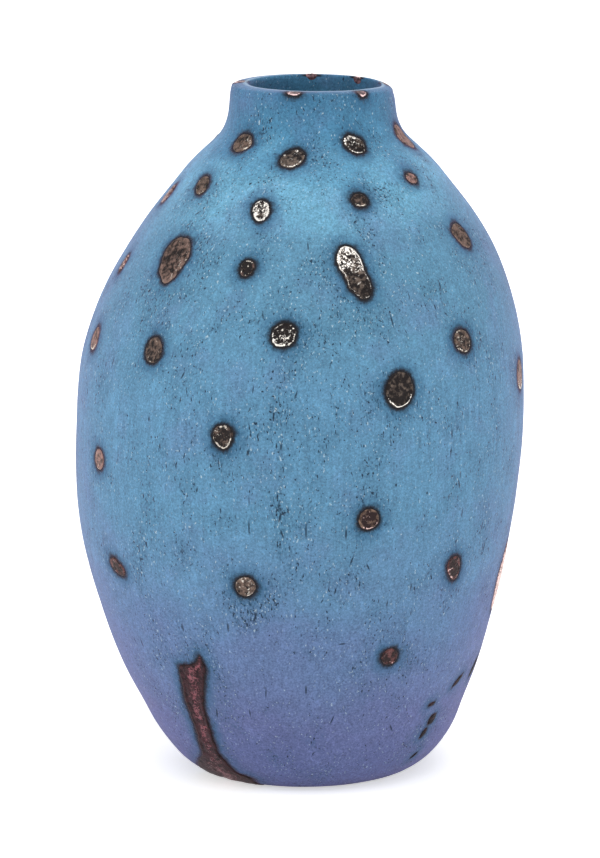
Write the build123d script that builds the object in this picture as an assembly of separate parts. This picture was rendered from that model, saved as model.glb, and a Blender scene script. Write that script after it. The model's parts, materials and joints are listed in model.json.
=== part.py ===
from build123d import *

import math
import os
from collections import namedtuple

# A hand-built faience jar: one thick blue-fired shell with a short open neck, and pellets of
# dark metallic clay pressed flush into its outside, each in its own shallow socket.
# Millimetres. The jar stands on Z = 0 with the centre of its foot at the origin. Its front
# faces -Y. Azimuths are degrees round the jar from the front, growing towards +X.

# The shell
JAR_HEIGHT = 300.0
BELLY_HEIGHT = 150.0
NECK_LENGTH = 21.0
FOOT_DIAMETER = 103.0
BELLY_DIAMETER = 195.0
NECK_DIAMETER = 70.0
WALL = 5.6
FLOOR = 9.0
FOOT_ROUND = 8.0
COVE_ROUND = 10.0
LIP_ROUND = 2.2

# The wall wanders sideways off a true axis by LEAN, and the rim is cut RIM_TILT degrees off
# level, low on +X.
LEAN = 4.0
RIM_TILT = 1.6

# The wall is scraped round by hand: courses no taller than COURSE, each a ring of narrow flats.
COURSE = 16.0
WALL_SIDES = 56
PELLET_SIDES = 16
ROUND_STEPS = 3
FLAT_ERROR = 0.001

# The inlays
PELLET = 11.0
INLAY_DEPTH = 2.6
FLECK = 6.0
FLECK_DEPTH = 1.2
STRIP_LENGTH = 74.0
STRIP_WIDTH = 14.0
STRIP_DEPTH = 2.0
STRIP_LIFT = 0.3
SHRINK_GAP = 0.12

# How far a cutter reaches past the surface that it cuts
OVERRUN = 4.0

# The wall from the foot up to the belly, then from the belly up to where the neck begins, then
# the neck. Each row is the share of that stretch's height, the share of the swell from the foot
# to the belly or from the neck to the belly, and the share of the lean.
LOWER_WALL_SHARES = [
    (0.00, 0.00, 0.00),
    (0.08, 0.20, 0.15),
    (0.17, 0.36, -0.10),
    (0.30, 0.56, -0.45),
    (0.47, 0.74, -0.80),
    (0.67, 0.90, -0.95),
    (0.87, 0.98, -0.75),
]
UPPER_WALL_SHARES = [
    (0.00, 1.00, -0.50),
    (0.22, 0.98, -0.30),
    (0.43, 0.88, 0.15),
    (0.62, 0.70, 0.65),
    (0.78, 0.48, 0.80),
    (0.87, 0.32, 0.80),
    (0.95, 0.16, 0.85),
    (1.00, 0.065, 0.90),
]
NECK_SHARES = [
    (0.30, 0.025, 0.90),
    (0.65, 0.005, 0.90),
    (1.00, -0.01, 0.90),
]

# Pellets in the wall: name, azimuth, share of the jar's height, share of PELLET along and
# across, tilt of the long axis from level, how egg-shaped it is, and how bent.
PELLET_SHARES = [
    ("neck_pellet_left", -47.5, 0.924, 1.05, 0.92, 15, 0.05, 0.00),
    ("neck_pellet_front", -11, 0.910, 1.15, 0.92, 45, 0.08, 0.00),
    ("neck_pellet_right", 26, 0.926, 1.05, 0.85, -40, -0.10, 0.00),
    ("neck_pellet_far_right", 74, 0.925, 1.20, 0.85, -65, 0.05, 0.00),
    ("shoulder_pellet_far_left", -80, 0.845, 1.15, 0.80, 80, 0.00, 0.00),
    ("shoulder_pellet_left", -55, 0.867, 1.00, 0.75, -55, 0.05, 0.00),
    ("shoulder_pellet_front_left", -20, 0.845, 1.05, 0.78, -80, 0.08, 0.00),
    ("shoulder_pellet_front_right", 19.5, 0.858, 0.75, 0.68, -10, 0.00, 0.00),
    ("shoulder_pellet_right", 50.5, 0.877, 0.68, 0.58, -10, 0.00, 0.00),
    ("shoulder_pellet_half_moon", 60, 0.797, 1.20, 1.05, -50, 0.15, 0.00),
    ("upper_sliver_left", -77.5, 0.748, 1.00, 0.70, 85, 0.05, 0.00),
    ("upper_teardrop_left", -48, 0.772, 2.15, 1.45, 95, -0.22, 0.00),
    ("upper_pellet_front_left", -20, 0.773, 0.78, 0.65, 80, 0.00, 0.00),
    ("upper_bean_front_right", 13, 0.768, 2.45, 1.25, 108, -0.08, -0.12),
    ("belly_pellet_far_left", -73, 0.645, 1.05, 0.85, 90, 0.05, 0.00),
    ("belly_pellet_left", -43, 0.655, 1.12, 0.95, 90, 0.05, 0.00),
    ("belly_pellet_front", -6, 0.689, 1.12, 1.00, 35, -0.05, 0.00),
    ("belly_pellet_right", 46, 0.665, 1.05, 0.95, -60, 0.05, 0.00),
    ("belly_pellet_large", 25, 0.611, 1.50, 1.25, 75, 0.05, 0.00),
    ("belly_pellet_far_right", 77, 0.590, 1.20, 0.85, 90, 0.00, 0.00),
    ("waist_egg_front_left", -19.5, 0.548, 1.05, 0.92, -80, 0.20, 0.00),
    ("waist_pellet_far_left", -61, 0.484, 0.95, 0.80, 90, 0.00, 0.00),
    ("waist_pellet_front_right", 18, 0.431, 0.95, 0.90, 60, 0.00, 0.00),
    ("lower_bean_left", -55, 0.333, 1.15, 0.70, -20, 0.00, -0.06),
    ("lower_pellet_front", -13, 0.334, 0.95, 0.88, 45, 0.00, 0.00),
    ("lower_egg_right", 46, 0.340, 1.12, 0.80, -75, 0.20, 0.00),
    ("lower_slab_far_right", 80, 0.295, 2.30, 1.00, 88, 0.05, 0.00),
    ("foot_pellet_right", 27.5, 0.220, 0.82, 0.78, -50, 0.00, 0.00),
    ("back_neck_pellet_right", 118, 0.915, 1.05, 0.85, 40, 0.05, 0.00),
    ("back_neck_pellet_left", 251, 0.920, 1.10, 0.90, -30, 0.05, 0.00),
    ("back_shoulder_pellet_right", 105, 0.855, 0.85, 0.72, 70, 0.00, 0.00),
    ("back_shoulder_pellet_middle", 146, 0.872, 1.15, 0.90, -50, 0.10, 0.00),
    ("back_shoulder_pellet_left", 186, 0.848, 0.95, 0.80, 20, 0.00, 0.00),
    ("back_shoulder_pellet_small", 243, 0.835, 0.72, 0.65, 0, 0.00, 0.00),
    ("back_upper_pellet_right", 122, 0.762, 1.20, 1.00, 80, 0.10, 0.00),
    ("back_upper_teardrop", 166, 0.775, 1.95, 1.25, 98, -0.20, 0.00),
    ("back_upper_pellet_left", 204, 0.742, 0.90, 0.80, -40, 0.00, 0.00),
    ("back_upper_pellet_far_left", 256, 0.725, 1.05, 0.85, 60, 0.05, 0.00),
    ("back_belly_pellet_right", 101, 0.655, 1.00, 0.92, -20, 0.00, 0.00),
    ("back_belly_pellet_large", 143, 0.640, 1.40, 1.15, 70, 0.05, 0.00),
    ("back_belly_pellet_middle", 183, 0.600, 1.05, 0.95, 30, 0.05, 0.00),
    ("back_belly_pellet_left", 233, 0.615, 1.15, 0.95, -65, 0.10, 0.00),
    ("back_waist_pellet_right", 116, 0.500, 1.00, 0.88, 75, 0.00, 0.00),
    ("back_waist_pellet_left", 206, 0.470, 1.00, 0.90, -70, 0.10, 0.00),
    ("back_waist_pellet_middle", 159, 0.445, 0.90, 0.85, 0, 0.00, 0.00),
    ("back_lower_pellet_right", 132, 0.340, 1.10, 0.80, -70, 0.15, 0.00),
    ("back_lower_pellet_left", 249, 0.385, 0.95, 0.82, 45, 0.00, 0.00),
    ("back_lower_bean", 188, 0.315, 1.20, 0.75, 25, 0.00, 0.06),
    ("back_foot_pellet", 160, 0.215, 0.85, 0.78, -30, 0.00, 0.00),
]

# Pellets in the rim: name, azimuth, the side of the lip (1 outside, 0 on top, -1 inside), and
# the shares of PELLET along the rim and across it.
RIM_SHARES = [
    ("rim_pellet_left", -96, 0, 0.75, 0.70),
    ("rim_pellet_front_left", -14, 1, 0.72, 0.45),
    ("rim_pellet_front_right", 38, 1, 0.58, 0.48),
    ("rim_pellet_right", 101, 0, 0.70, 0.30),
    ("rim_pellet_back_right", 138, -1, 0.55, 0.38),
    ("rim_pellet_back", 181, -1, 0.62, 0.45),
]

# Flecks in a trail above the foot: azimuth, share of the jar's height, shares of FLECK along
# and across, tilt of the long axis from level.
FLECK_SHARES = [
    (75.5, 0.157, 2.00, 0.60, 48),
    (61.5, 0.151, 1.55, 0.42, 31),
    (49.0, 0.127, 0.80, 0.36, 18),
    (52.0, 0.101, 1.00, 0.66, 64),
    (49.2, 0.081, 1.02, 0.44, 57),
    (49.5, 0.043, 0.92, 0.24, 47),
]

# The strip that runs down to the foot: where its middle is, then its edges, each point a share
# of STRIP_WIDTH across and a share of STRIP_LENGTH up from its middle.
STRIP_AZIMUTH = -36
STRIP_MIDDLE_SHARE = 0.1
STRIP_LEFT_SHARES = [(-1.55, -0.47), (-1.20, -0.385), (-0.60, -0.25), (-0.47, -0.10), (-0.48, 0.15), (-0.36, 0.42)]
STRIP_TOP_SHARES = [(-0.30, 0.435), (0.24, 0.44), (0.55, 0.52)]
STRIP_RIGHT_SHARES = [(0.68, 0.43), (0.24, 0.17), (0.17, -0.08), (0.14, -0.21), (0.46, -0.36), (1.30, -0.425)]

Level = namedtuple("Level", "height radius shift slope lean_slope", defaults=[0])


def wall_levels():
    """The levels that the outer wall passes through, from the foot to the rim's middle."""
    foot = FOOT_DIAMETER / 2
    belly = BELLY_DIAMETER / 2
    neck = NECK_DIAMETER / 2
    rim_height = JAR_HEIGHT - (neck - LIP_ROUND) * math.sin(math.radians(RIM_TILT))
    neck_foot = rim_height - NECK_LENGTH
    places = []
    for up_share, swell_share, lean_share in LOWER_WALL_SHARES:
        places.append((BELLY_HEIGHT * up_share, foot + (belly - foot) * swell_share, LEAN * lean_share))
    for up_share, swell_share, lean_share in UPPER_WALL_SHARES:
        height = BELLY_HEIGHT + (neck_foot - BELLY_HEIGHT) * up_share
        places.append((height, neck + (belly - neck) * swell_share, LEAN * lean_share))
    for up_share, swell_share, lean_share in NECK_SHARES:
        height = neck_foot + NECK_LENGTH * up_share
        places.append((height, neck + (belly - neck) * swell_share, LEAN * lean_share))
    levels = []
    for index, (height, radius, shift) in enumerate(places):
        below = places[max(index - 1, 0)]
        above = places[min(index + 1, len(places) - 1)]
        levels.append(Level(height, radius, shift, (above[1] - below[1]) / (above[0] - below[0])))
    return levels


LEVELS = wall_levels()
RIM = LEVELS[-1]


def wall_at(height):
    """The outer wall at any height, on a smooth curve between the two levels beside it."""
    index = 1
    while index < len(LEVELS) - 1 and LEVELS[index].height < height:
        index += 1
    below = LEVELS[index - 1]
    above = LEVELS[index]
    span = above.height - below.height
    rise = (height - below.height) / span
    from_below = (1 + 2 * rise) * (1 - rise) ** 2
    radius = below.radius * from_below + above.radius * (1 - from_below)
    radius += span * rise * (1 - rise) * (below.slope * (1 - rise) - above.slope * rise)
    shift = below.shift + (above.shift - below.shift) * rise
    slope = below.slope + (above.slope - below.slope) * rise
    return Level(height, radius, shift, slope, (above.shift - below.shift) / span)


def course_levels(course):
    """The wall's levels with more between them, so that no course is taller than asked."""
    levels = [LEVELS[0]]
    for below, above in zip(LEVELS, LEVELS[1:]):
        span = above.height - below.height
        count = math.ceil(span / course)
        for step in range(1, count):
            levels.append(wall_at(below.height + span * step / count))
        levels.append(above)
    return levels


def drawn_in(level, depth):
    """A level moved inwards by a depth that is measured square to the wall."""
    return level._replace(radius=level.radius - depth * math.hypot(1, level.slope))


def corner(radius, height, reach, start, end):
    """Points (height, radius) along a rounded corner, between two angles from level."""
    points = []
    for step in range(ROUND_STEPS + 1):
        angle = math.radians(start + (end - start) * step / ROUND_STEPS)
        points.append((height + reach * math.sin(angle), radius + reach * math.cos(angle)))
    return points


def foot_corner(levels, floor, reach):
    """Points that round the corner between a flat floor and the wall above it."""
    low, high = levels[0], levels[1]
    slope = (high.radius - low.radius) / (high.height - low.height)
    at_floor = low.radius + (floor - low.height) * slope
    middle = at_floor + reach * slope - reach * math.hypot(1, slope)
    return corner(middle, floor + reach, reach, -90, -math.degrees(math.atan(slope)))


def ring(height, radius):
    """The corners of one ring of the wall, which turns gradually to the rim's tilt in the neck."""
    neck_foot = RIM.height - NECK_LENGTH
    share = (height - neck_foot) / (NECK_LENGTH - LIP_ROUND)
    tilt = RIM_TILT * min(max(share, 0), 1)
    centre = Vector(wall_at(min(height, RIM.height)).shift, 0, height)
    corners = []
    for side in range(WALL_SIDES):
        angle = math.tau * side / WALL_SIDES
        spoke = Vector(radius * math.cos(angle), radius * math.sin(angle), 0)
        corners.append(centre + spoke.rotate(Axis.Y, tilt))
    return corners


def flats(lower, upper):
    """The flats between two rings: whole where the rings are level, halved where they tilt."""
    level = abs(lower[0].Z - lower[WALL_SIDES // 2].Z) + abs(upper[0].Z - upper[WALL_SIDES // 2].Z) < FLAT_ERROR
    faces = []
    for side in range(WALL_SIDES):
        low, next_low = lower[side - 1], lower[side]
        high, next_high = upper[side - 1], upper[side]
        if level:
            faces.append(Face(Wire.make_polygon([low, next_low, next_high, high])))
        else:
            faces.append(Face(Wire.make_polygon([low, next_low, next_high])))
            faces.append(Face(Wire.make_polygon([low, next_high, high])))
    return faces


def stacked(points):
    """A solid through rings at the given (height, radius) points, with a flat at every side."""
    rings = [ring(height, radius) for height, radius in points]
    faces = [Face(Wire.make_polygon(rings[0])), Face(Wire.make_polygon(rings[-1]))]
    for lower, upper in zip(rings, rings[1:]):
        faces += flats(lower, upper)
    return Solid(Shell(faces))


def between(levels, low, high):
    """(height, radius) of the levels that lie between two heights."""
    return [(level.height, level.radius) for level in levels if low < level.height < high]


def outer_form():
    """The jar's outside as one full solid, with its foot and the outside of its lip rounded."""
    levels = course_levels(COURSE)
    foot = foot_corner(levels, 0, FOOT_ROUND)
    lip = corner(RIM.radius - LIP_ROUND, RIM.height - LIP_ROUND, LIP_ROUND, 0, 90)
    return stacked(foot + between(levels, foot[-1][0], lip[0][0]) + lip)


def hollow():
    """The space inside the jar, open upwards past the rim, with a coved floor."""
    levels = [drawn_in(level, WALL) for level in LEVELS[::2]]
    cove = foot_corner(levels, FLOOR, COVE_ROUND)
    middle = RIM.radius - WALL + LIP_ROUND
    lip = corner(middle, RIM.height - LIP_ROUND, LIP_ROUND, 180, 90)
    mouth = (RIM.height + OVERRUN, lip[-1][1])
    return stacked(cove + between(levels, cove[-1][0], lip[0][0]) + lip + [mouth])


def egg_outline(length, width, egg_share, bend_share):
    """A closed outline, fuller at one end by the egg share and curved by the bend share."""
    points = []
    for step in range(PELLET_SIDES):
        angle = math.tau * step / PELLET_SIDES
        along = math.cos(angle)
        across = math.sin(angle) * (1 - egg_share * along)
        points.append((length / 2 * along, width / 2 * across + PELLET * bend_share * along**2))
    return make_face(Polyline(points, close=True))


def chip_outline(length, width):
    """A narrow six-sided chip that comes to a point at each end."""
    half = length / 2
    edge = width / 2
    shoulder = half / 3
    lower = [(-half, 0), (-shoulder, -edge), (shoulder, -edge)]
    upper = [(half, 0), (shoulder, edge), (-shoulder, edge)]
    return make_face(Polyline([*lower, *upper], close=True))


def strip_outline(gap):
    """The foot strip's outline: two ragged edges, a notched top and a foot below the wall."""
    left = [(STRIP_WIDTH * x + gap, STRIP_LENGTH * y) for x, y in STRIP_LEFT_SHARES]
    top = [(STRIP_WIDTH * x, STRIP_LENGTH * y - gap) for x, y in STRIP_TOP_SHARES]
    right = [(STRIP_WIDTH * x - gap, STRIP_LENGTH * y) for x, y in STRIP_RIGHT_SHARES]
    low = -STRIP_LENGTH / 2 - OVERRUN
    foot = [(right[-1][0], low), (left[0][0], low)]
    return make_face(Polyline([*left, *top, *right, *foot], close=True))


def wall_plane(azimuth, height, tilt):
    """A plane that touches the outer wall, facing out, its X axis tilted from level."""
    level = wall_at(height)
    turn = math.radians(azimuth)
    outward = Vector(math.sin(turn), -math.cos(turn), 0)
    along = Vector(math.cos(turn), math.sin(turn), 0)
    point = Vector(level.shift, 0, height) + outward * level.radius
    normal = (outward - Vector(0, 0, level.slope + level.lean_slope * math.sin(turn))).normalized()
    lean = math.radians(tilt)
    x_dir = along * math.cos(lean) + normal.cross(along) * math.sin(lean)
    return Plane(origin=point, x_dir=x_dir, z_dir=normal)


def rim_plane(azimuth, side):
    """A plane that touches the lip: on its outside at side 1, its top at 0, its inside at -1."""
    facing = math.radians(90 - 45 * side)
    turn = math.radians(azimuth)
    up = Vector(0, 0, 1).rotate(Axis.Y, RIM_TILT)
    outward = Vector(math.sin(turn), -math.cos(turn), 0).rotate(Axis.Y, RIM_TILT)
    middle = RIM.radius - WALL / 2 + side * (WALL / 2 - LIP_ROUND)
    across = outward * (middle + LIP_ROUND * math.cos(facing))
    point = Vector(RIM.shift, 0, RIM.height) + across + up * LIP_ROUND * (math.sin(facing) - 1)
    normal = outward * math.cos(facing) + up * math.sin(facing)
    return Plane(origin=point, x_dir=up.cross(outward), z_dir=normal)


def punched(plane, outline, depth):
    """A prism of the outline, from depth below the plane to well above it."""
    return extrude(plane.offset(-depth) * outline, depth + OVERRUN)


def pellet_places():
    """Name, plane and outline sizes of every pellet, in the wall and in the rim."""
    rows = []
    for name, azimuth, height_share, long_share, wide_share, tilt, egg_share, bend_share in PELLET_SHARES:
        plane = wall_plane(azimuth, JAR_HEIGHT * height_share, tilt)
        rows.append((name, plane, PELLET * long_share, PELLET * wide_share, egg_share, bend_share))
    for name, azimuth, side, long_share, wide_share in RIM_SHARES:
        rows.append((name, rim_plane(azimuth, side), PELLET * long_share, PELLET * wide_share, 0, 0))
    return rows


def pellet_prisms(gap):
    """A prism through the wall for each pellet, drawn in all round by the gap."""
    prisms = {}
    for name, plane, length, width, egg_share, bend_share in pellet_places():
        outline = egg_outline(length - 2 * gap, width - 2 * gap, egg_share, bend_share)
        prisms[name] = punched(plane, outline, INLAY_DEPTH)
    return prisms


def fleck_prisms(gap):
    """A prism into the wall for each fleck of the trail, drawn in all round by the gap."""
    prisms = []
    for azimuth, height_share, long_share, wide_share, tilt in FLECK_SHARES:
        plane = wall_plane(azimuth, JAR_HEIGHT * height_share, tilt)
        outline = chip_outline(FLECK * long_share - 2 * gap, FLECK * wide_share - 2 * gap)
        prisms.append(punched(plane, outline, FLECK_DEPTH))
    return prisms


def strip_prism(gap):
    """The foot strip's prism, down to a core that follows the wall, just clear of the table."""
    plane = wall_plane(STRIP_AZIMUTH, JAR_HEIGHT * STRIP_MIDDLE_SHARE, 0)
    levels = [drawn_in(level, STRIP_DEPTH) for level in course_levels(COURSE)]
    core = stacked(between(levels, -OVERRUN, BELLY_HEIGHT))
    block = punched(plane, strip_outline(gap), STRIP_LENGTH / 2) - core
    table = Plane(origin=(0, 0, STRIP_LIFT - SHRINK_GAP + gap))
    return split(block, bisect_by=table, keep=Keep.TOP)


def flush(prisms, shell):
    """Prisms cut off level with the shell's own surface. They lie clear of one another."""
    waste = Compound(children=prisms) - shell
    return [prism - waste for prism in prisms]


def build():
    """Every piece of the jar by its name."""
    shell = outer_form() - hollow()
    pellets = pellet_prisms(SHRINK_GAP)
    pieces = dict(zip(pellets, flush([*pellets.values()], shell)))
    pieces["foot_fleck_trail"] = Compound(children=flush(fleck_prisms(SHRINK_GAP), shell))
    pieces["foot_strip"] = flush([strip_prism(SHRINK_GAP)], shell)[0]
    sockets = [*pellet_prisms(0).values(), *fleck_prisms(0), strip_prism(0)]
    pieces["jar_body"] = shell - sockets
    return pieces


os.makedirs("parts", exist_ok=True)
for node, piece in build().items():
    export_step(piece, f"parts/{node}.step")
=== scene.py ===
"""Dresses a hand-built faience jar over its solids: a mottled matt blue wall, inlaid with clay pellets.

Sizes in this file are millimetres, and MM turns them into Blender's metres. Azimuths are degrees
round the jar from its front, -Y, growing towards +X.
"""

import json
import math
import random
from functools import cached_property, partial
from types import SimpleNamespace

import bpy
import numpy as np
from bpy.props import FloatProperty, FloatVectorProperty, IntProperty, PointerProperty
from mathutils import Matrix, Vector, noise
from mathutils.bvhtree import BVHTree
from mathutils.kdtree import KDTree


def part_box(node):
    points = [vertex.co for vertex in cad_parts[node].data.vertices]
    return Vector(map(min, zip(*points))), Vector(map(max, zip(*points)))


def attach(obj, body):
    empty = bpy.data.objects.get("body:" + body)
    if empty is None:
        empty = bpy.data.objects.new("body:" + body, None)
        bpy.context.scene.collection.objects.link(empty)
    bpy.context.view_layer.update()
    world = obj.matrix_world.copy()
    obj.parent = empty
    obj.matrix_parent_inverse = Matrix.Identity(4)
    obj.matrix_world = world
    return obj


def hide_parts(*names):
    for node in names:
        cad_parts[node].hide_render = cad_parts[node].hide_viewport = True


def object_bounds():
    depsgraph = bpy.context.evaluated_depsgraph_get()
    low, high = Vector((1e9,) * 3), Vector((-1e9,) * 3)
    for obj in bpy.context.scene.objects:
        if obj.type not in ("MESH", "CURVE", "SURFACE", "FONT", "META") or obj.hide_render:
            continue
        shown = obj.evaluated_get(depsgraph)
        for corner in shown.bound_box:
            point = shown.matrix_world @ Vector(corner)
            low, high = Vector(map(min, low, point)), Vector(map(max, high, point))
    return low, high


bl_info = {
    "name": "Inlaid faience jar",
    "version": (1, 0, 0),
    "blender": (4, 5, 0),
    "location": "3D View > Sidebar > Jar",
    "description": "Builds the wall, the clay inlays and the stage of a hand-built faience jar",
    "category": "Add Mesh",
}

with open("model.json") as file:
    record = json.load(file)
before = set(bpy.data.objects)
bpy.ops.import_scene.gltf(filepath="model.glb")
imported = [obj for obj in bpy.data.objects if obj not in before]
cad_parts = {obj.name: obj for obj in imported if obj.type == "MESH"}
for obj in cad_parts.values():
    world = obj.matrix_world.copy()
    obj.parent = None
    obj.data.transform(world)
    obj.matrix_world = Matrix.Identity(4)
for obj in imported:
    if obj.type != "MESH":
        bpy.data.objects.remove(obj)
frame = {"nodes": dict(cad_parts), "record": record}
CAD_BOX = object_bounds()
MM = 0.001
UP = Vector((0, 0, 1))
BODY = "root"
SHELL_NODE = "jar_body"
STRIP_NODE = "foot_strip"
FLECK_NODE = "foot_fleck_trail"
# How far from the axis rays start, and how far one may go before the nearest point is taken instead
FAR = 400.0
REACH_LIMIT = 14.0
AZIMUTHS = range(0, 360, 6)

# Where the photograph was taken from, in millimetres and degrees, and its frame in pixels
CAMERA_PLACE = (-1.9, -1907.0, 551.0)
CAMERA_PITCH = 11.92
CAMERA_FOCUS_PX = 4486.0
PHOTO_WIDTH_PX = 600
PHOTO_HEIGHT_PX = 858
SENSOR = 36.0
# The height that the lamps are turned to, and how much stronger the left one is than the right
LAMP_AIM_HEIGHT = 150.0
LEFT_SHARE = 1.3

# The neck's length, how far below its top the rim's section is taken, and how high its rounding
# stands
NECK_LENGTH = 21.0
RIM_REACH = 6.0
LIP_RISE = 2.0
LIP_STEPS = 10
# Where the lip's crest lies, as a share of its thickness from the inside, how full its two sides
# are, and how far it stays under the solid's top
LIP_CREST = 0.15
LIP_OUTER_POWER = 0.6
LIP_INNER_POWER = 0.5
LIP_MARGIN = 0.03
# How much of the slope of the solid's rim is kept
RIM_LEVELLING = 0.57
# Where the rim stands higher than its plane: azimuth, width in degrees, height
RIM_BUMPS = ((-5.0, 40.0, 0.7), (50.0, 26.0, 0.6), (125.0, 30.0, 0.5), (180.0, 50.0, 0.25))
# How far the lip thickens inwards on the left, and over what height
LIP_ROLL = 1.3
LIP_ROLL_REACH = 4.0
# How far the lip falls outwards all round, and how much more at its right end
LIP_LEAN = 0.05
LIP_LEAN_RIGHT = 1.2
# How far under the lip the point lies from which its pellets face away
RIM_CORE_DEPTH = 2.5
# How hollow the underside is, and how far and up to what height the foot's edge is drawn in
FOOT_HOLLOW = 0.6
FOOT_EASE = 4.0
FOOT_EASE_HEIGHT = 9.0
# How far above the foot and the floor inside the lowest sections are taken
FOOT_OFFSET = 0.05
FLOOR_OFFSET = 0.2
# The spacing of the sections near the bottom, up to what height, and above it
CLOSE_SPACING = 0.5
CLOSE_HEIGHT = 14.0
WIDE_SPACING = 2.0
# How far the courses are softened, at heights up from the bottom and down from the lip, and how
# much further the sideways shifts are
LOW_REACHES = ((0, 0.5), (8, 1.5), (26, 7))
HIGH_REACHES = ((45, 7), (NECK_LENGTH, 2.5), (0, 2))
SHIFT_REACH = 4
# How uneven the inside is
INSIDE_DEPTH = 0.3
# Where the wall swells past the straight courses of its solid: height, reach up and down, depth and
# sideways shift
SWELLS = ((20.0, 8.0, 0.9, 0.0), (267.0, 9.0, 1.5, 0.0), (245.0, 28.0, 0.5, 0.4), (296.0, 5.0, 0.6, 0.0))


# Reading the solids

def node_tree(*names):
    """A tree for casting rays at the named solids."""
    vertices = []
    faces = []
    for name in names:
        mesh = frame["nodes"][name].data
        start = len(vertices)
        vertices += [vertex.co.copy() for vertex in mesh.vertices]
        faces += [[start + index for index in face.vertices] for face in mesh.polygons]
    return BVHTree.FromPolygons(vertices, faces)


def spoke(azimuth):
    """The level direction that points out from the axis at an azimuth."""
    turn = math.radians(azimuth)
    return Vector((math.sin(turn), -math.cos(turn), 0))


def cast(tree, start, direction):
    """Where a ray meets a tree, in millimetres, or None. The start is in millimetres too."""
    hit = tree.ray_cast(start * MM, direction)[0]
    return hit / MM if hit is not None else None


def slice_at(tree, height, from_inside, centre):
    """The radius and the sideways shift of the wall at a height, by the circle that fits it best."""
    points = []
    for azimuth in AZIMUTHS:
        way = spoke(azimuth)
        start = Vector((centre, 0, height))
        hit = cast(tree, start, way) if from_inside else cast(tree, start + way * FAR, -way)
        if hit is not None:
            points.append((hit.x, hit.y))
    points = np.array(points)
    shift = (points[:, 0].max() + points[:, 0].min()) / 2
    radii = np.hypot(points[:, 0] - shift, points[:, 1])
    x, y = points[abs(radii - np.median(radii)) < 1].T
    terms = np.stack([2 * x, np.ones(len(x))], axis=1)
    shift, rest = np.linalg.lstsq(terms, x**2 + y**2, rcond=None)[0]
    return math.sqrt(rest + shift**2), shift


def softened(heights, values, reaches):
    """Values along the wall, each the middle of a curve fitted to its neighbours within its reach."""
    result = []
    for height, reach in zip(heights, reaches):
        weights = np.exp(-0.25 * ((heights - height) / reach) ** 2)
        result.append(np.polyfit(heights - height, values, 2, w=weights)[2])
    return np.array(result)


class Wall:
    """The jar's section measured on the solids: its two faces, its rim's slope and its floor."""

    def __init__(self):
        solid = node_tree(*frame["nodes"])
        shell = node_tree(SHELL_NODE)
        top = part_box(SHELL_NODE)[1].z / MM
        neck_radius, self.rim_shift = slice_at(solid, top - RIM_REACH, False, 0)
        inner_radius, _ = slice_at(shell, top - RIM_REACH, True, self.rim_shift)
        self.lip_radius = (neck_radius + inner_radius) / 2
        tops = []
        for azimuth in AZIMUTHS:
            start = Vector((self.rim_shift, 0, FAR)) + spoke(azimuth) * self.lip_radius
            hit = cast(solid, start, -UP)
            if hit.z > top - RIM_REACH:
                tops.append((hit.x - self.rim_shift, hit.z))
        tops = np.array(tops)
        slope, fitted = np.polyfit(tops[:, 0], tops[:, 1], 1)
        self.rim_slope = slope * RIM_LEVELLING
        self.rim_height = min(fitted + LIP_RISE, top - abs(self.rim_slope) * self.lip_radius - LIP_MARGIN)
        self.floor = cast(shell, Vector((0, 0, top / 2)), -UP).z
        self.lip_start = self.rim_height - LIP_RISE
        heights, radii, shifts = self.measured(solid, False, FOOT_OFFSET)
        self.widest = radii.max()
        radii = radii - np.clip(1 - heights / FOOT_EASE_HEIGHT, 0, 1) ** 2 * FOOT_EASE
        for height, reach, depth, sideways in SWELLS:
            near = np.exp(-(((heights - height) / reach) ** 2))
            radii += depth * near
            shifts += sideways * near
        self.outer = heights, radii, shifts
        heights, radii, shifts = self.measured(shell, True, self.floor + FLOOR_OFFSET)
        rolled = LIP_ROLL * np.exp(-(((heights[-1] - heights) / LIP_ROLL_REACH) ** 2))
        self.inner = heights, radii - rolled / 2, shifts + rolled / 2

    def measured(self, tree, from_inside, low):
        """Heights, radii and shifts of one face of the wall, softened where it is made of courses."""
        high = self.lip_start
        turn = low + CLOSE_HEIGHT
        close = np.arange(low, turn, CLOSE_SPACING)
        heights = np.concatenate([close, np.arange(turn, high, WIDE_SPACING), [high]])
        centres = self.rim_shift * (heights > (low + high) / 2)
        rows = [slice_at(tree, height, from_inside, centre) for height, centre in zip(heights, centres)]
        radii, shifts = np.array(rows).T
        marks = [low + up for up, _ in LOW_REACHES] + [high - down for down, _ in HIGH_REACHES]
        reaches = np.interp(heights, marks, [reach for _, reach in LOW_REACHES + HIGH_REACHES])
        return heights, softened(heights, radii, reaches), softened(heights, shifts, reaches + SHIFT_REACH)

    def lift(self, turn, x, height, outside):
        """How far the rim's slope and its unevenness lift a point of the neck."""
        share = np.clip((height - self.lip_start + NECK_LENGTH) / NECK_LENGTH, 0, 1)
        bump = 0
        for azimuth, width, rise in RIM_BUMPS:
            away = (math.degrees(turn) - azimuth + 180) % 360 - 180
            bump += rise * math.exp(-((away / width) ** 2))
        lean = (LIP_LEAN + LIP_LEAN_RIGHT * max(0, math.sin(turn)) ** 2) * outside
        return (self.rim_slope * (x - self.rim_shift) + bump - lean) * share


# The wall

def evenly(face, spacing, outside):
    """Rows (radius, height, shift, outside) along one face of the wall, evenly spaced on its curve."""
    heights, radii, shifts = face
    steps = np.hypot(np.diff(heights), np.diff(radii))
    along = np.concatenate([[0], np.cumsum(steps)])
    places = np.linspace(0, along[-1], int(along[-1] / spacing) + 1)
    columns = [np.interp(places, along, values) for values in (radii, heights, shifts)]
    return [(*row, outside) for row in zip(*columns)]


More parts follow.
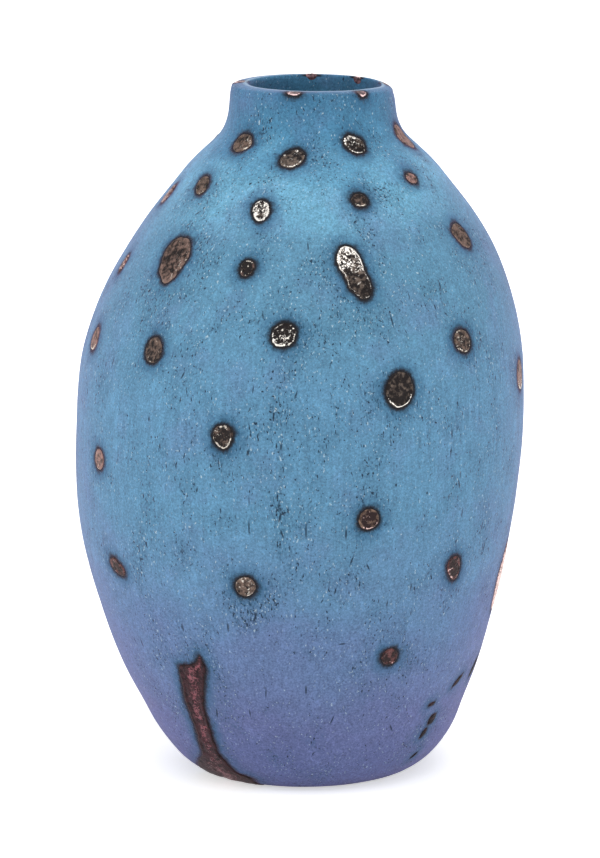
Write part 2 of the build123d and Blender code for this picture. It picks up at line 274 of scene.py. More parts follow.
def section(wall, spacing):
    """The jar's whole section as rows, from the middle of its underside up the outside, over the
    lip, and down the inside to the middle of its floor."""
    outer = evenly(wall.outer, spacing, 1)
    inner = evenly(wall.inner, spacing * 2, 0)[::-1]
    under = []
    for share in (0.25, 0.5, 0.75, 0.9):
        under.append((outer[0][0] * share, FOOT_HOLLOW * (1 - share**4), outer[0][2], 0))
    lip = []
    thickness = outer[-1][0] - inner[0][0]
    for angle in np.linspace(0, math.pi, LIP_STEPS + 2)[1:-1]:
        outwards = np.cos(angle) > 0
        across = LIP_CREST + np.cos(angle) * (1 - LIP_CREST if outwards else LIP_CREST)
        rise = np.sin(angle) ** (LIP_OUTER_POWER if outwards else LIP_INNER_POWER)
        radius = inner[0][0] + thickness * across
        shift = inner[0][2] + (outer[-1][2] - inner[0][2]) * across
        lip.append((radius, outer[-1][1] + LIP_RISE * rise, shift, across))
    radius, height, shift, _ = inner[-1]
    floor = [(radius * share, height - FLOOR_OFFSET, shift, 0) for share in (0.8, 0.5, 0.25)]
    return under + outer + lip + inner + floor


def wobble(point, size, seed):
    """Smooth noise from 0 to 1 whose lumps are about as large as size."""
    return 0.5 + 0.5 * noise.noise(point / size + Vector((seed, 2 * seed, 3 * seed)))


def scraped(point, sizes):
    """How deep the hand-scraped wall lies under its true round at a point."""
    broad = wobble(point, sizes.lump_size, 1) * sizes.lump_depth
    scrape = wobble(Vector((point.x, point.y, point.z * 0.5)), sizes.scrape_size, 2) * sizes.scrape_depth
    grain = wobble(point, sizes.scrape_size / 4, 3) * sizes.scrape_depth / 4
    return broad + scrape + grain


def ring_points(wall, row, count, sizes):
    """The vertices of one ring of the shell."""
    radius, height, shift, outside = row
    points = []
    proud = min((wall.widest - radius) / 2, 1) * (sizes.lump_depth + sizes.scrape_depth) / 2
    for step in range(count):
        turn = math.tau * step / count
        true = Vector((shift + radius * math.sin(turn), -radius * math.cos(turn), height))
        depth = (scraped(true, sizes) - proud) * outside
        if outside == 0 and radius > sizes.lump_size / 2:
            depth = -INSIDE_DEPTH * wobble(true, sizes.lump_size, 4)
        share = 1 - depth / radius
        x = shift + (true.x - shift) * share
        points.append((x, true.y * share, height + wall.lift(turn, x, height, outside)))
    return points


def bridge(faces, low, low_count, high, high_count):
    """Faces between two rings, of which the upper has as many vertices as the lower, or half."""
    if low_count == high_count:
        for step in range(low_count):
            after = (step + 1) % low_count
            faces.append((low + step, low + after, high + after, high + step))
        return
    for step in range(high_count):
        after = (step + 1) % high_count
        left, middle, right = low + 2 * step, low + 2 * step + 1, low + 2 * after
        faces.append((left, middle, high + step))
        faces.append((high + step, middle, high + after))
        faces.append((middle, right, high + after))


def shell_mesh(wall, sizes):
    """The shell's vertices and faces, with fewer columns on the inside, and how far outside each
    vertex lies, from 0 to 1."""
    rows = section(wall, sizes.row_spacing)
    outer = [index for index, row in enumerate(rows) if row[3] > 0]
    counts = []
    for index in range(len(rows)):
        halvings = min(max(index - outer[-1], 0), 2)
        counts.append(sizes.columns >> halvings)
    vertices = [(rows[0][2], 0, rows[0][1])]
    faces = []
    starts = []
    for row, count in zip(rows, counts):
        starts.append(len(vertices))
        vertices += ring_points(wall, row, count, sizes)
    for index in range(len(rows) - 1):
        bridge(faces, starts[index], counts[index], starts[index + 1], counts[index + 1])
    for step in range(counts[0]):
        faces.append((0, starts[0] + (step + 1) % counts[0], starts[0] + step))
    last = len(vertices)
    vertices.append((rows[-1][2], 0, rows[-1][1]))
    for step in range(counts[-1]):
        faces.append((last, starts[-1] + step, starts[-1] + (step + 1) % counts[-1]))
    outside = np.zeros(len(vertices))
    for row, start, count in zip(rows, starts, counts):
        outside[start : start + count] = row[3]
    return np.array(vertices), faces, outside


# The inlays' places

def welded(mesh):
    """A solid's corner points in millimetres with repeats joined, and its faces on them."""
    places = {}
    points = []
    indices = []
    for vertex in mesh.vertices:
        key = tuple(round(value / MM, 3) for value in vertex.co)
        if key not in places:
            places[key] = len(points)
            points.append(Vector(key))
        indices.append(places[key])
    faces = [[indices[index] for index in face.vertices] for face in mesh.polygons]
    return points, faces


def islands(faces):
    """Groups of faces that share corners."""
    groups = []
    for face in faces:
        touching = [group for group in groups if not group[0].isdisjoint(face)]
        corners = set(face).union(*(group[0] for group in touching))
        members = [face] + [member for group in touching for member in group[1]]
        groups = [group for group in groups if group not in touching] + [(corners, members)]
    return [members for _, members in groups]


# How far a face must look away from where the pellet faces to be part of its base
BASE_FACING = -0.3
# The size of the unevenness of a pellet's outline
NOTCH_SIZE = 3.5


class Inlay:
    """A pellet's place, read from its solid: its middle, the way it faces and its outline."""

    def __init__(self, wall, points, faces, in_rim):
        middle = sum((sum((points[i] for i in face), Vector()) / 3 for face in faces), Vector()) / len(faces)
        self.out = Vector((middle.x - wall.rim_shift * in_rim, middle.y, 0)).normalized()
        facing = self.out
        if in_rim:
            core = Vector((wall.rim_shift, 0, wall.lip_start - RIM_CORE_DEPTH)) + self.out * wall.lip_radius
            facing = (middle - core).normalized()
        areas = {}
        for face in faces:
            a, b, c = (points[index] for index in face[:3])
            normal = (b - a).cross(c - a) / 2
            if normal.length and normal.normalized().dot(facing) < BASE_FACING:
                key = tuple(round(value, 1) for value in normal.normalized())
                areas.setdefault(key, []).append((normal, face))
        base = max(areas.values(), key=lambda rows: sum(row[0].length for row in rows))
        self.normal = -sum((row[0] for row in base), Vector()).normalized()
        self.across = UP.cross(self.out).normalized()
        self.across = (self.across - self.normal * self.across.dot(self.normal)).normalized()
        self.up = self.normal.cross(self.across)
        corners = [points[index] for index in {index for _, face in base for index in face}]
        self.middle = sum(corners, Vector()) / len(corners)
        offsets = [corner - self.middle for corner in corners]
        flat = [(offset.dot(self.across), offset.dot(self.up)) for offset in offsets]
        flat.sort(key=lambda place: math.atan2(place[1], place[0]))
        self.shape(rounded(np.array(flat)))

    def shape(self, outline):
        """Sets the outline, a closed row of points in the pellet's plane."""
        self.outline = outline
        angles = np.arctan2(outline[:, 1], outline[:, 0])
        order = np.argsort(angles)
        self.angles = angles[order]
        self.radii = np.hypot(outline[:, 0], outline[:, 1])[order]

    def dent(self, size, dents, unevenness):
        """Sizes the outline and presses dents (direction, width in degrees, share of the radius)
        into it, uneven all round as a hand-cut one is."""
        angles = np.degrees(np.arctan2(self.outline[:, 1], self.outline[:, 0]))
        shares = np.full(len(angles), size)
        for direction, width, depth in dents:
            turn = (angles - direction + 180) % 360 - 180
            shares -= depth * np.exp(-((turn / width) ** 2))
        for index, (across, up) in enumerate(self.outline):
            shares[index] -= unevenness * (wobble(self.point(across, up), NOTCH_SIZE, 51) - 0.5)
        self.shape(self.outline * shares[:, None])

    def reach(self, angle):
        """The outline's distance from the middle in a direction."""
        return float(np.interp(angle, self.angles, self.radii, period=math.tau))

    def point(self, across, up, above=0.0):
        """A point in the pellet's own plane, raised above it."""
        return self.middle + self.across * across + self.up * up + self.normal * above


def rounded(corners, steps=5):
    """A closed smooth curve through the corners of an outline."""
    count = len(corners)
    points = []
    for index in range(count):
        before, start, end, after = (corners[(index + offset) % count] for offset in (-1, 0, 1, 2))
        for step in range(steps):
            t = step / steps
            bend = 2 * before - 5 * start + 4 * end - after
            twist = 3 * start - before - 3 * end + after
            points.append((2 * start + (end - before) * t + bend * t**2 + twist * t**3) / 2)
    return np.array(points)


# Pellets whose outline isn't a plain oval: its size, and its dents as the direction in degrees from
# the right, the width and the depth
OUTLINES = {
    "upper_bean_front_right": (0.95, ((197, 46, 0.26), (15, 60, 0.2))),
    "upper_teardrop_left": (0.96, ((305, 34, 0.08), (225, 16, -0.05))),
    "shoulder_pellet_half_moon": (1.0, ((205, 42, 0.30), (240, 14, -0.06))),
    "lower_bean_left": (0.95, ((50, 35, 0.2),)),
    "waist_egg_front_left": (0.94, ((150, 30, 0.08),)),
    "shoulder_pellet_far_left": (0.9, ((0, 60, 0.3), (180, 60, 0.3))),
    "upper_sliver_left": (0.9, ((0, 60, 0.3), (180, 60, 0.3))),
    "lower_slab_far_right": (1.05, ((180, 45, -0.4), (270, 45, -0.35))),
    "neck_pellet_far_right": (1.04, ()),
    "belly_pellet_far_right": (1.0, ((180, 60, -0.25),)),
    "foot_fleck_trail": (1.1, ()),
}
OUTLINE_SIZE = 0.94
RIM_OUTLINE_SIZE = 0.86
UNEVENNESS = 0.14
# How far the two pellets on the front of the rim reach over its crest
FRONT_RIM_LIFT = 1.0


def read_inlays(wall):
    """The inlays of every node but the shell and the strip, as {node: [Inlay, ...]}."""
    found = {}
    for name, node in frame["nodes"].items():
        if name in (SHELL_NODE, STRIP_NODE):
            continue
        points, faces = welded(node.data)
        found[name] = [Inlay(wall, points, group, name.startswith("rim_")) for group in islands(faces)]
        size, dents = OUTLINES.get(name, (RIM_OUTLINE_SIZE if name.startswith("rim_") else OUTLINE_SIZE, ()))
        for inlay in found[name]:
            inlay.dent(size, dents, UNEVENNESS)
            if name.startswith("rim_pellet_front"):
                inlay.middle += inlay.up * FRONT_RIM_LIFT
    return found


# Meshes of the inlays

def surface_at(tree, start, way):
    """Where the shell lies under a point, and which way it faces there."""
    hit, normal, _, _ = tree.ray_cast(start * MM, way)
    if hit is None or (hit / MM - start).length > REACH_LIMIT:
        hit, normal, _, _ = tree.find_nearest(start * MM)
    return hit / MM, normal


def wall_point(tree, azimuth, height):
    """The shell's outer face at an azimuth and height, and which way it faces there."""
    hit, normal, _, _ = tree.ray_cast((Vector((0, 0, height)) + spoke(azimuth) * FAR) * MM, -spoke(azimuth))
    return hit / MM, normal


# How high above its plane a pellet's rays start, how far it stands off the wall, how its rings crowd
# towards its edge, and how far its underside is drawn in
RAY_START = 8.0
PELLET_LIFT = 0.05
RING_POWER = 1.5
BASE_TAPER = 0.4
# The width of its raised ring, the margin in which its relief fades, and the reaches of its sunken
# edge and its dull rim
RING_WIDTH = 0.5
RELIEF_MARGIN = 0.8
EDGE_REACH = 0.28
DULL_REACH = 0.3
# How far inside its edge the band of painted highlight lies, and its width
CRESCENT_IN = 0.75
CRESCENT_WIDTH = 0.3
# The sizes of its lumps, its blisters and the rags of its polish and painted highlights, and how strong those
# are
LUMP_SIZE = 1.1
BLISTER_SIZE = 1.5
RAG_SIZE = 1.6
RAG_STRENGTH = 0.6


def pellet_patch(inlay, tree, look, seed):
    """Vertices, faces and paint of one pellet: a pressed pad with a rounded edge that sinks below
    the wall, a raised ring inside its edge, and a pitted, blistered face. Its paint holds polished metal
    and painted highlights."""
    vertices = []
    faces = []
    edge = []
    shine = []
    dark = []
    segments = look["segments"]
    rings = look["rings"]
    shares = [1 - (1 - step / rings) ** RING_POWER for step in range(rings + 1)]
    for ring, share in enumerate(shares):
        for segment in range(segments if ring else 1):
            angle = math.tau * segment / segments - math.pi
            reach = inlay.reach(angle)
            place = inlay.point(reach * share * math.cos(angle), reach * share * math.sin(angle), RAY_START)
            hit, normal = surface_at(tree, place, -inlay.normal)
            rag = (wobble(hit, RAG_SIZE, seed) - 0.5) * RAG_STRENGTH
            inside = reach * (1 - share)
            fade = min(1, inside / RELIEF_MARGIN)
            rise = look["crown"] * (1 - share**2)
            rise += look["ring"] * math.exp(-(((inside - look["ring_in"]) / RING_WIDTH) ** 2))
            rise += look["rough"] * (wobble(hit, LUMP_SIZE, seed + 5) - 0.5) * fade
            blister = abs(wobble(hit, BLISTER_SIZE, seed + 9) - 0.5) * 2
            # Painted highlights, which also mark polished metal: a level of its own, lighter towards the top
            # or one side, and a band round the ring and near the lower edge
            bright = look["shine"] + look["highlight_up"] * math.sin(angle) * share
            bright += look["highlight_side"] * math.cos(angle) * share
            band = math.exp(-(((inside - CRESCENT_IN) / CRESCENT_WIDTH) ** 2))
            bright += band * (look["ring_highlight"] + look["lit_crescent"] * max(0, -math.sin(angle)))
            bright = min(max(bright + rag, 0), 1)
            rise += look["blister"] * bright * (0.5 - blister) * fade
            sink = look["sink"] * math.exp(-inside / EDGE_REACH)
            vertices.append(hit + normal * (rise - sink + PELLET_LIFT))
            edge.append(math.exp(-inside / look["edge"]))
            shine.append(bright * (1 - math.exp(-inside / DULL_REACH)))
            shade = look["dark"] + look["dark_up"] * math.sin(angle) * share
            shade += look["dark_middle"] * (1 - share**3)
            dark.append(min(max(shade, 0), 1))
    for segment in range(segments):
        faces.append((0, 1 + segment, 1 + (segment + 1) % segments))
    for ring in range(rings - 1):
        bridge(faces, 1 + (ring + 1) * segments, segments, 1 + ring * segments, segments)
    outer = 1 + (rings - 1) * segments
    base = len(vertices)
    for segment in range(segments):
        point = vertices[outer + segment]
        after = (segment + 1) % segments
        inwards = (vertices[0] - point).normalized()
        vertices.append(point - inlay.normal * look["depth"] + inwards * BASE_TAPER)
        faces.append((outer + segment, base + segment, base + after, outer + after))
        faces.append((base + after, base + segment, base + segments))
    vertices.append(vertices[0] - inlay.normal * look["depth"])
    under = segments + 1
    paint = {"edge": edge + [1] * under, "shine": shine + [0] * under, "dark": dark + [1] * under}
    return vertices, faces, paint | {"tint": [look["tint"]] * len(vertices)}


def joined(patches):
    """Several patches as one."""
    vertices = []
    faces = []
    paint = {}
    for patch_vertices, patch_faces, patch_paint in patches:
        start = len(vertices)
        vertices += patch_vertices
        faces += [tuple(start + index for index in face) for face in patch_faces]
        for name, values in patch_paint.items():
            paint.setdefault(name, []).extend(values)
    return vertices, faces, paint


# The strip's right edge is drawn in above the foot: by how many degrees, at what height and reach
TAPER = 8.0
TAPER_HEIGHT = 3.0
TAPER_REACH = 4.0
# The azimuths at which its solid is looked for, how far from its ends its rows start and stop, and
# their spacing
STRIP_AZIMUTHS = np.arange(-85, 20, 0.25)
STRIP_LOW_END = 0.2
STRIP_HIGH_END = 0.3
STRIP_SPACING = 0.8
# The size and depth of the rags of its edges, how far in they reach, and the sizes of its lumps and
# the patches of its shine
STRIP_RAG_SIZE = 2.2
STRIP_RAG_DEPTH = 1.2
STRIP_RAG_REACH = 1.5
STRIP_LUMP_SIZE = 2.4
STRIP_SHINE_SIZE = 2.5
# How far inside its edge its raised ring lies, that ring's width, and the reach of its sunken edge
STRIP_RING_IN = 1.0
STRIP_RING_WIDTH = 0.6
STRIP_EDGE_REACH = 0.3
# The streak of painted highlight down its middle, which also makes it metallic there: its place and width as
# shares of the strip's, and its strength
STREAK_SHARE = 0.55
STREAK_WIDTH_SHARE = 0.26
STREAK_HIGHLIGHT = 0.74


class Strip:
    """The foot strip's two edges by height, found by casting rays at its solid."""

    def __init__(self):
        tree = node_tree(STRIP_NODE)
        low, high = (corner.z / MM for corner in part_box(STRIP_NODE))
        self.rows = []
        for height in np.arange(low + STRIP_LOW_END, high - STRIP_HIGH_END, STRIP_SPACING):
            hits = []
            for azimuth in STRIP_AZIMUTHS:
                start = Vector((0, 0, height)) + spoke(azimuth) * FAR
                if cast(tree, start, -spoke(azimuth)) is not None:
                    hits.append(azimuth)
            if hits:
                drawn_in = TAPER * math.exp(-(((height - TAPER_HEIGHT) / TAPER_REACH) ** 2))
                self.rows.append((float(height), min(hits), max(hits) - drawn_in))
        edges = np.array(self.rows)
        for column in (1, 2):
            padded = np.pad(edges[:, column], 1, mode="edge")
            edges[:, column] = (padded[:-2] + 2 * padded[1:-1] + padded[2:]) / 4
        self.rows = [tuple(float(value) for value in row) for row in edges]

    def holds(self, azimuth, height):
        """Whether a place on the wall lies between the strip's edges."""
        heights = [row[0] for row in self.rows]
        if not heights[0] <= height <= heights[-1]:
            return False
        left = np.interp(height, heights, [row[1] for row in self.rows])
        right = np.interp(height, heights, [row[2] for row in self.rows])
        return bool(left < azimuth < right)


def strip_patch(strip, tree, look):
    """Vertices, faces and paint of the foot strip: a smeared ribbon with ragged, raised edges."""
    vertices = []
    faces = []
    edge = []
    shine = []
    columns = look["columns"]
    last = len(strip.rows) - 1
    under = []
    for index, (height, left, right) in enumerate(strip.rows):
        for column in range(columns + 1):
            share = column / columns
            azimuth = left + (right - left) * share
            hit, normal = wall_point(tree, azimuth, height)
            width = math.radians(right - left) * math.hypot(hit.x, hit.y)
            rag = (wobble(hit, STRIP_RAG_SIZE, 31) - 0.5) * STRIP_RAG_DEPTH
            from_ends = min((last - index) * STRIP_SPACING, index * STRIP_SPACING + 1)
            inside = min(min(share, 1 - share) * width, from_ends) + 0.01
            rag *= (1 if share > 0.5 else -1) * math.exp(-inside / STRIP_RAG_REACH)
            hit += UP.cross(normal).normalized() * rag
            lumps = wobble(Vector((hit.x, hit.y, hit.z * 0.6)), STRIP_LUMP_SIZE, 37)
            rise = look["lift"] + look["rough"] * (lumps - 0.5)
            rise += look["ring"] * math.exp(-(((inside - STRIP_RING_IN) / STRIP_RING_WIDTH) ** 2))
            rise -= look["sink"] * math.exp(-inside / STRIP_EDGE_REACH)
            vertices.append(hit + normal * rise)
            under.append(hit - normal * look["depth"])
            edge.append(math.exp(-inside / look["edge"]))
            # A painted highlight streaked down the middle, which also makes the clay metallic there
            streak = math.exp(-(((share - STREAK_SHARE) / STREAK_WIDTH_SHARE) ** 2))
            shine.append(STREAK_HIGHLIGHT * streak * wobble(hit, STRIP_SHINE_SIZE, 41))
    top_count = len(vertices)
    vertices += under
    edge += [1] * top_count
    shine += [0] * top_count
    width = columns + 1
    for index in range(last):
        for column in range(columns):
            a = index * width + column
            faces.append((a, a + 1, a + width + 1, a + width))
            b = top_count + a
            faces.append((b, b + width, b + width + 1, b + 1))
    sides = []
    for index in range(last):
        sides += [(index * width, width, 1), (index * width + columns, width, -1)]
    for column in range(columns):
        sides += [(column, 1, -1), (last * width + column, 1, 1)]
    for a, onwards, way in sides:
        faces.append((a, a + onwards, top_count + a + onwards, top_count + a)[::way])
    return vertices, faces, {"edge": edge, "shine": shine}


# Pieces

def new_piece(name, vertices, faces, paint, material, slot, *nodes):
    """A smooth mesh that rides on the jar and stands for the nodes named."""
    mesh = bpy.data.meshes.new(name)
    low, high = (corner.z for corner in CAD_BOX)
    places = [Vector(vertex) * MM for vertex in vertices]
    mesh.from_pydata([(place.x, place.y, min(max(place.z, low), high)) for place in places], [], faces)
    for layer, values in paint.items():
        attribute = mesh.attributes.new(layer, "FLOAT", "POINT")
        attribute.data.foreach_set("value", np.array(values, np.float32))
    mesh.polygons.foreach_set("use_smooth", [True] * len(mesh.polygons))
    mesh.materials.append(material)
    mesh.update()
    piece = bpy.data.objects.new(name, mesh)
    bpy.context.scene.collection.objects.link(piece)
    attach(piece, BODY)
    if nodes:
        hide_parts(*nodes)


# Materials

MIX_A, MIX_B, MIX_RESULT = 6, 7, 2


def linear(code, alpha=True):
    """An sRGB hex colour as Blender's linear one."""
    channels = [int(code[start : start + 2], 16) / 255 for start in (1, 3, 5)]
    values = [value / 12.92 if value <= 0.04045 else ((value + 0.055) / 1.055) ** 2.4 for value in channels]
    return (*values, 1.0) if alpha else tuple(values)


def per(size):
    """A texture's scale for a pattern that repeats about every size, in millimetres."""
    return 1 / (size * MM)


def add_node(tree, kind, inputs, output=0, **settings):
    """Adds a shader node and returns one of its outputs, if it has any. Its inputs are plain values
    or other nodes' sockets, by name or, in a tuple, in order."""
    made = tree.nodes.new("ShaderNode" + kind)
    for name, value in settings.items():
        setattr(made, name, value)
    for name, value in inputs.items() if isinstance(inputs, dict) else enumerate(inputs):
        if isinstance(value, bpy.types.NodeSocket):
            tree.links.new(value, made.inputs[name])
        else:
            made.inputs[name].default_value = value
    return made.outputs[output] if made.outputs else None


def new_material(name):
    """An empty material, and the function that adds nodes to it."""
    material = bpy.data.materials.new(name)
    material.use_nodes = True
    material.node_tree.nodes.clear()
    return material, partial(add_node, material.node_tree)


def faience_blue(colours):
    """Egyptian faience, pressed by hand and scraped, under a matt copper glaze: soft blue that turns
    violet near the foot, mottled, pitted, with dark teal stipple and burnt halos round the clay."""
    material, add = new_material("faience_matt_copper_glaze")
    place = add("TexCoord", {}, "Object")
    rise = add("SeparateXYZ", (place,), "Z")
    distance, placed, chip, lip_share = (
        add("Attribute", {}, "Fac", attribute_name=layer)
        for layer in ("inlay_distance", "gathering", "chip", "outside")
    )

    # The glaze's colour by height, its borders blurred as a dipped and wiped glaze's are
    drift = add("TexNoise", {"Vector": place, "Scale": per(34), "Detail": 4.0})
    drifted = add("Math", (drift, 52 * MM, rise), operation="MULTIPLY_ADD")
    share = add("MapRange", (drifted, 26 * MM, 326 * MM))
    colour = add("ValToRGB", (share,))
    ramp = colour.node.color_ramp
    stops = ((0.0, "foot"), (0.05, "foot"), (0.11, "low"), (0.18, "turning"), (0.25, "violet_blue"),
             (0.33, "waist"), (0.44, "belly"), (0.58, "belly"), (0.72, "upper"), (0.80, "upper"),
             (0.87, "shoulder"), (0.935, "neck"), (1.0, "lip"))
    for index, (position, name) in enumerate(stops):
        stop = ramp.elements[index] if index < 2 else ramp.elements.new(position)
        stop.position = position
        stop.color = (*getattr(colours, name), 1)

    # Violet and pale clouds where the glaze lies thin or thick
    cloud = add("TexNoise", {"Vector": place, "Scale": per(22), "Detail": 5.0, "Roughness": 0.6})
    violet = add("MapRange", (cloud, 0.5, 0.72, 0.0, 0.3))
    colour = add("Mix", {0: violet, MIX_A: colour, MIX_B: (*colours.cloud, 1)}, MIX_RESULT,
                 data_type="RGBA")
    bloom = add("TexNoise", {"Vector": place, "Scale": per(7), "Detail": 4.0, "Roughness": 0.65})
    pale = add("MapRange", (bloom, 0.54, 0.74, 0.0, 0.14))

    # Mottling, a fine dry grain and the faint upright lines that the scraper drags
    mottle = add("TexNoise", {"Vector": place, "Scale": per(14), "Detail": 3.0})
    grain = add("TexNoise", {"Vector": place, "Scale": per(3.0), "Detail": 5.0, "Roughness": 0.75})
    fine = add("TexNoise", {"Vector": place, "Scale": per(0.9), "Detail": 4.0, "Roughness": 0.8})
    upright = add("Mapping", {"Vector": place, "Scale": (1.0, 1.0, 14.0)}, vector_type="TEXTURE")
    drag = add("TexNoise", {"Vector": upright, "Scale": per(1.5), "Detail": 4.0})
    tone = add("Math", (mottle, 0.2, pale), operation="MULTIPLY_ADD")
    tone = add("Math", (tone, -0.61), operation="ADD")
    for pattern, share in ((grain, 0.3), (fine, 2.2), (drag, 0.55)):
        tone = add("Math", (pattern, share, tone), operation="MULTIPLY_ADD")
    colour = add("HueSaturation", {"Value": tone, "Color": colour})

    # Teal stipple where copper gathered, in drifts and round the clay
    dot_place = add("Mapping", {"Vector": place, "Scale": (1.0, 1.0, 1.7)}, vector_type="TEXTURE")
    dots = add("TexVoronoi", {"Vector": dot_place, "Scale": per(1.15)}, "Distance")
    dot = add("MapRange", (dots, 0.16, 0.5, 1.0, 0.25))
    drift_place = add("Mapping", {"Vector": place, "Scale": (1.0, 1.0, 1.8)}, vector_type="TEXTURE")
    drifts = add("TexNoise", {"Vector": drift_place, "Scale": per(15), "Detail": 5.0, "Roughness": 0.62})
    near = add("MapRange", (distance, 1.0, 14.0, 0.12, 0.0))
    gathered = add("Math", (drifts, near), operation="ADD")
    gathered = add("Math", (placed, 0.15, gathered), operation="MULTIPLY_ADD")
    thick = add("MapRange", (gathered, 0.50, 0.70, 0.0, 0.72))
    stipple = add("Math", (dot, thick), operation="MULTIPLY")

    # Pits and short upright scratches of uneven shape, thickest where copper gathered, and pale specks
    pit = 0.0
    for size, stretch, least in ((1.1, 1.5, 0.683), (0.95, 4.5, 0.70)):
        stretched = add("Mapping", {"Vector": place, "Scale": (1.0, 1.0, stretch)}, vector_type="TEXTURE")
        noisy = add("TexNoise", {"Vector": stretched, "Scale": per(size), "Detail": 2.0})
        crowded = add("Math", (gathered, 0.33, noisy), operation="MULTIPLY_ADD")
        mark = add("MapRange", (crowded, least + 0.165, least + 0.21))
        pit = add("Math", (pit, mark), operation="MAXIMUM")
    chipped = add("MapRange", (chip, 0.05, 0.6))
    pit = add("Math", (pit, chipped), operation="MAXIMUM")
    pitted = add("Math", (pit, 0.93), operation="MULTIPLY")
    grains = add("TexNoise", {"Vector": drift_place, "Scale": per(0.85)})
    grains = add("Math", (gathered, 0.2, grains), operation="MULTIPLY_ADD")
    speck = add("MapRange", (grains, 0.775, 0.82, 0.0, 0.65))

    # The clay's metal burnt into the glaze: a deep blue halo, a ragged navy ring and a black joint
    stray = add("TexNoise", {"Vector": place, "Scale": per(3.4), "Detail": 3.0})
    frayed = add("Math", (fine, 2.4, distance), operation="MULTIPLY_ADD")
    strayed = add("Math", (stray, 4.0, frayed), operation="MULTIPLY_ADD")
    patchy = add("TexNoise", {"Vector": place, "Scale": per(11), "Detail": 2.0})
    patchy = add("MapRange", (patchy, 0.36, 0.6, 0.6, 1.0))
    halo = add("MapRange", (strayed, 3.2, 11.0, 0.85, 0.0), interpolation_type="SMOOTHSTEP")
    halo = add("Math", (halo, patchy), operation="MULTIPLY")
    burnt = add("MapRange", (strayed, 3.7, 5.7, 0.85, 0.0))
    joint = add("MapRange", (frayed, 1.55, 2.45, 0.97, 0.0))

    # The lip's edge, made pale by a painted highlight
    up_to = add("MapRange", (lip_share, 0.05, 0.16, 0.0, 0.6))
    beyond = add("MapRange", (lip_share, 0.22, 0.42, 1.0, 0.0))
    highlit = add("Math", (up_to, beyond), operation="MULTIPLY")

    # Each of these laid over the ones before it
    layers = {"stipple": stipple, "speck": speck, "pit": pitted, "halo": halo, "burnt": burnt, "joint": joint,
              "lip_highlight": highlit}
    for name, share in layers.items():
        over = (*getattr(colours, name), 1)
        colour = add("Mix", {0: share, MIX_A: colour, MIX_B: over}, MIX_RESULT, data_type="RGBA")

    # A dry, finely toothed surface
    rough = add("MapRange", (grain, 0.3, 0.7, 0.62, 0.84))
    bump = add("Bump", {"Strength": 0.5, "Distance": 0.25 * MM, "Height": fine})
    bump = add("Bump", {"Strength": 0.5, "Distance": 0.5 * MM, "Height": grain, "Normal": bump})
    bump = add("Bump", {"Strength": 0.35, "Distance": 0.4 * MM, "Height": drag, "Normal": bump})
    sunk = add("Math", (pit, joint), operation="MAXIMUM")
    bump = add("Bump", {"Strength": 0.5, "Distance": 0.3 * MM, "Height": sunk, "Normal": bump}, invert=True)
    shader = add("BsdfPrincipled", {
        "Base Color": colour, "Roughness": rough, "IOR": 1.5, "Specular IOR Level": 0.3, "Sheen Weight": 0.4,
        "Sheen Roughness": 0.4, "Sheen Tint": linear("#c8a9e0"), "Normal": bump})
    add("OutputMaterial", {"Surface": shader})
    return material


def metal_clay(name, dark, middle, tinted, bright, metal, gloss):
    """A pellet of manganese and iron clay, pressed in and scraped while leather-hard, then fired: a
    dark, half-metallic skin with pits and creases, blistered to bright metal where it was polished,
    with painted highlights in the same bright colour."""
    material, add = new_material(name)
    place = add("TexCoord", {}, "Object")
    edge, shine, shade, tint = (
        add("Attribute", {}, "Fac", attribute_name=layer) for layer in ("edge", "shine", "dark", "tint")
    )

    # Its skin, from dark in the creases to the clay's own brown
    skin = add("TexNoise", {"Vector": place, "Scale": per(2.2), "Detail": 5.0, "Roughness": 0.6})
    level = add("Math", (shade, -0.26, skin), operation="MULTIPLY_ADD")
    level = add("MapRange", (level, 0.33, 0.54))
    colour = add("Mix", {0: tint, MIX_A: linear(middle), MIX_B: linear(tinted)}, MIX_RESULT, data_type="RGBA")
    colour = add("Mix", {0: level, MIX_A: linear(dark), MIX_B: colour}, MIX_RESULT, data_type="RGBA")
    grit = add("TexNoise", {"Vector": place, "Scale": per(0.7), "Detail": 2.0})
    tone = add("Math", (grit, 1.1, 0.45), operation="MULTIPLY_ADD")
    colour = add("HueSaturation", {"Value": tone, "Color": colour})

    # Bright metal and painted highlights on the crests of its wrinkles
    wrinkle = add("TexNoise", {"Vector": place, "Scale": per(1.6), "Detail": 4.0, "Distortion": 2.0})
    crest = add("Math", (shine, 0.6, wrinkle), operation="MULTIPLY_ADD")
    lit = add("MapRange", (crest, 0.68, 0.80), interpolation_type="SMOOTHSTEP")
    colour = add("Mix", {0: lit, MIX_A: colour, MIX_B: linear(bright)}, MIX_RESULT, data_type="RGBA")

    # Pinholes in some of its cells, and a dark edge where it meets the wall
    holes = add("TexVoronoi", {"Vector": place, "Scale": per(1.5)}, "Distance")
    some = add("Math", (holes.node.outputs["Color"], 0.5), operation="LESS_THAN")
    hole = add("MapRange", (holes, 0.10, 0.30, 1.0, 0.0))
    hole = add("Math", (hole, some), operation="MULTIPLY")
    rim = add("MapRange", (edge, 0.45, 0.95))
    black = add("Math", (hole, rim), operation="MAXIMUM")
    black = add("Math", (black, 0.85), operation="MULTIPLY")
    colour = add("Mix", {0: black, MIX_A: colour, MIX_B: linear("#191211")}, MIX_RESULT, data_type="RGBA")

    metallic = add("MapRange", {0: lit, 3: metal, 4: 0.9})
    rough = add("MapRange", {0: lit, 3: 0.5, 4: 0.34})
    bump = add("Bump", {"Strength": 0.5, "Distance": 0.4 * MM, "Height": skin})
    bump = add("Bump", {"Strength": 0.7, "Distance": 0.4 * MM, "Height": wrinkle, "Normal": bump})
    bump = add("Bump", {"Strength": 0.8, "Distance": 0.25 * MM, "Height": hole, "Normal": bump}, invert=True)
    shader = add("BsdfPrincipled", {
        "Base Color": colour, "Metallic": metallic, "Roughness": rough, "Specular IOR Level": gloss,
        "Normal": bump})
    add("OutputMaterial", {"Surface": shader})
    return material


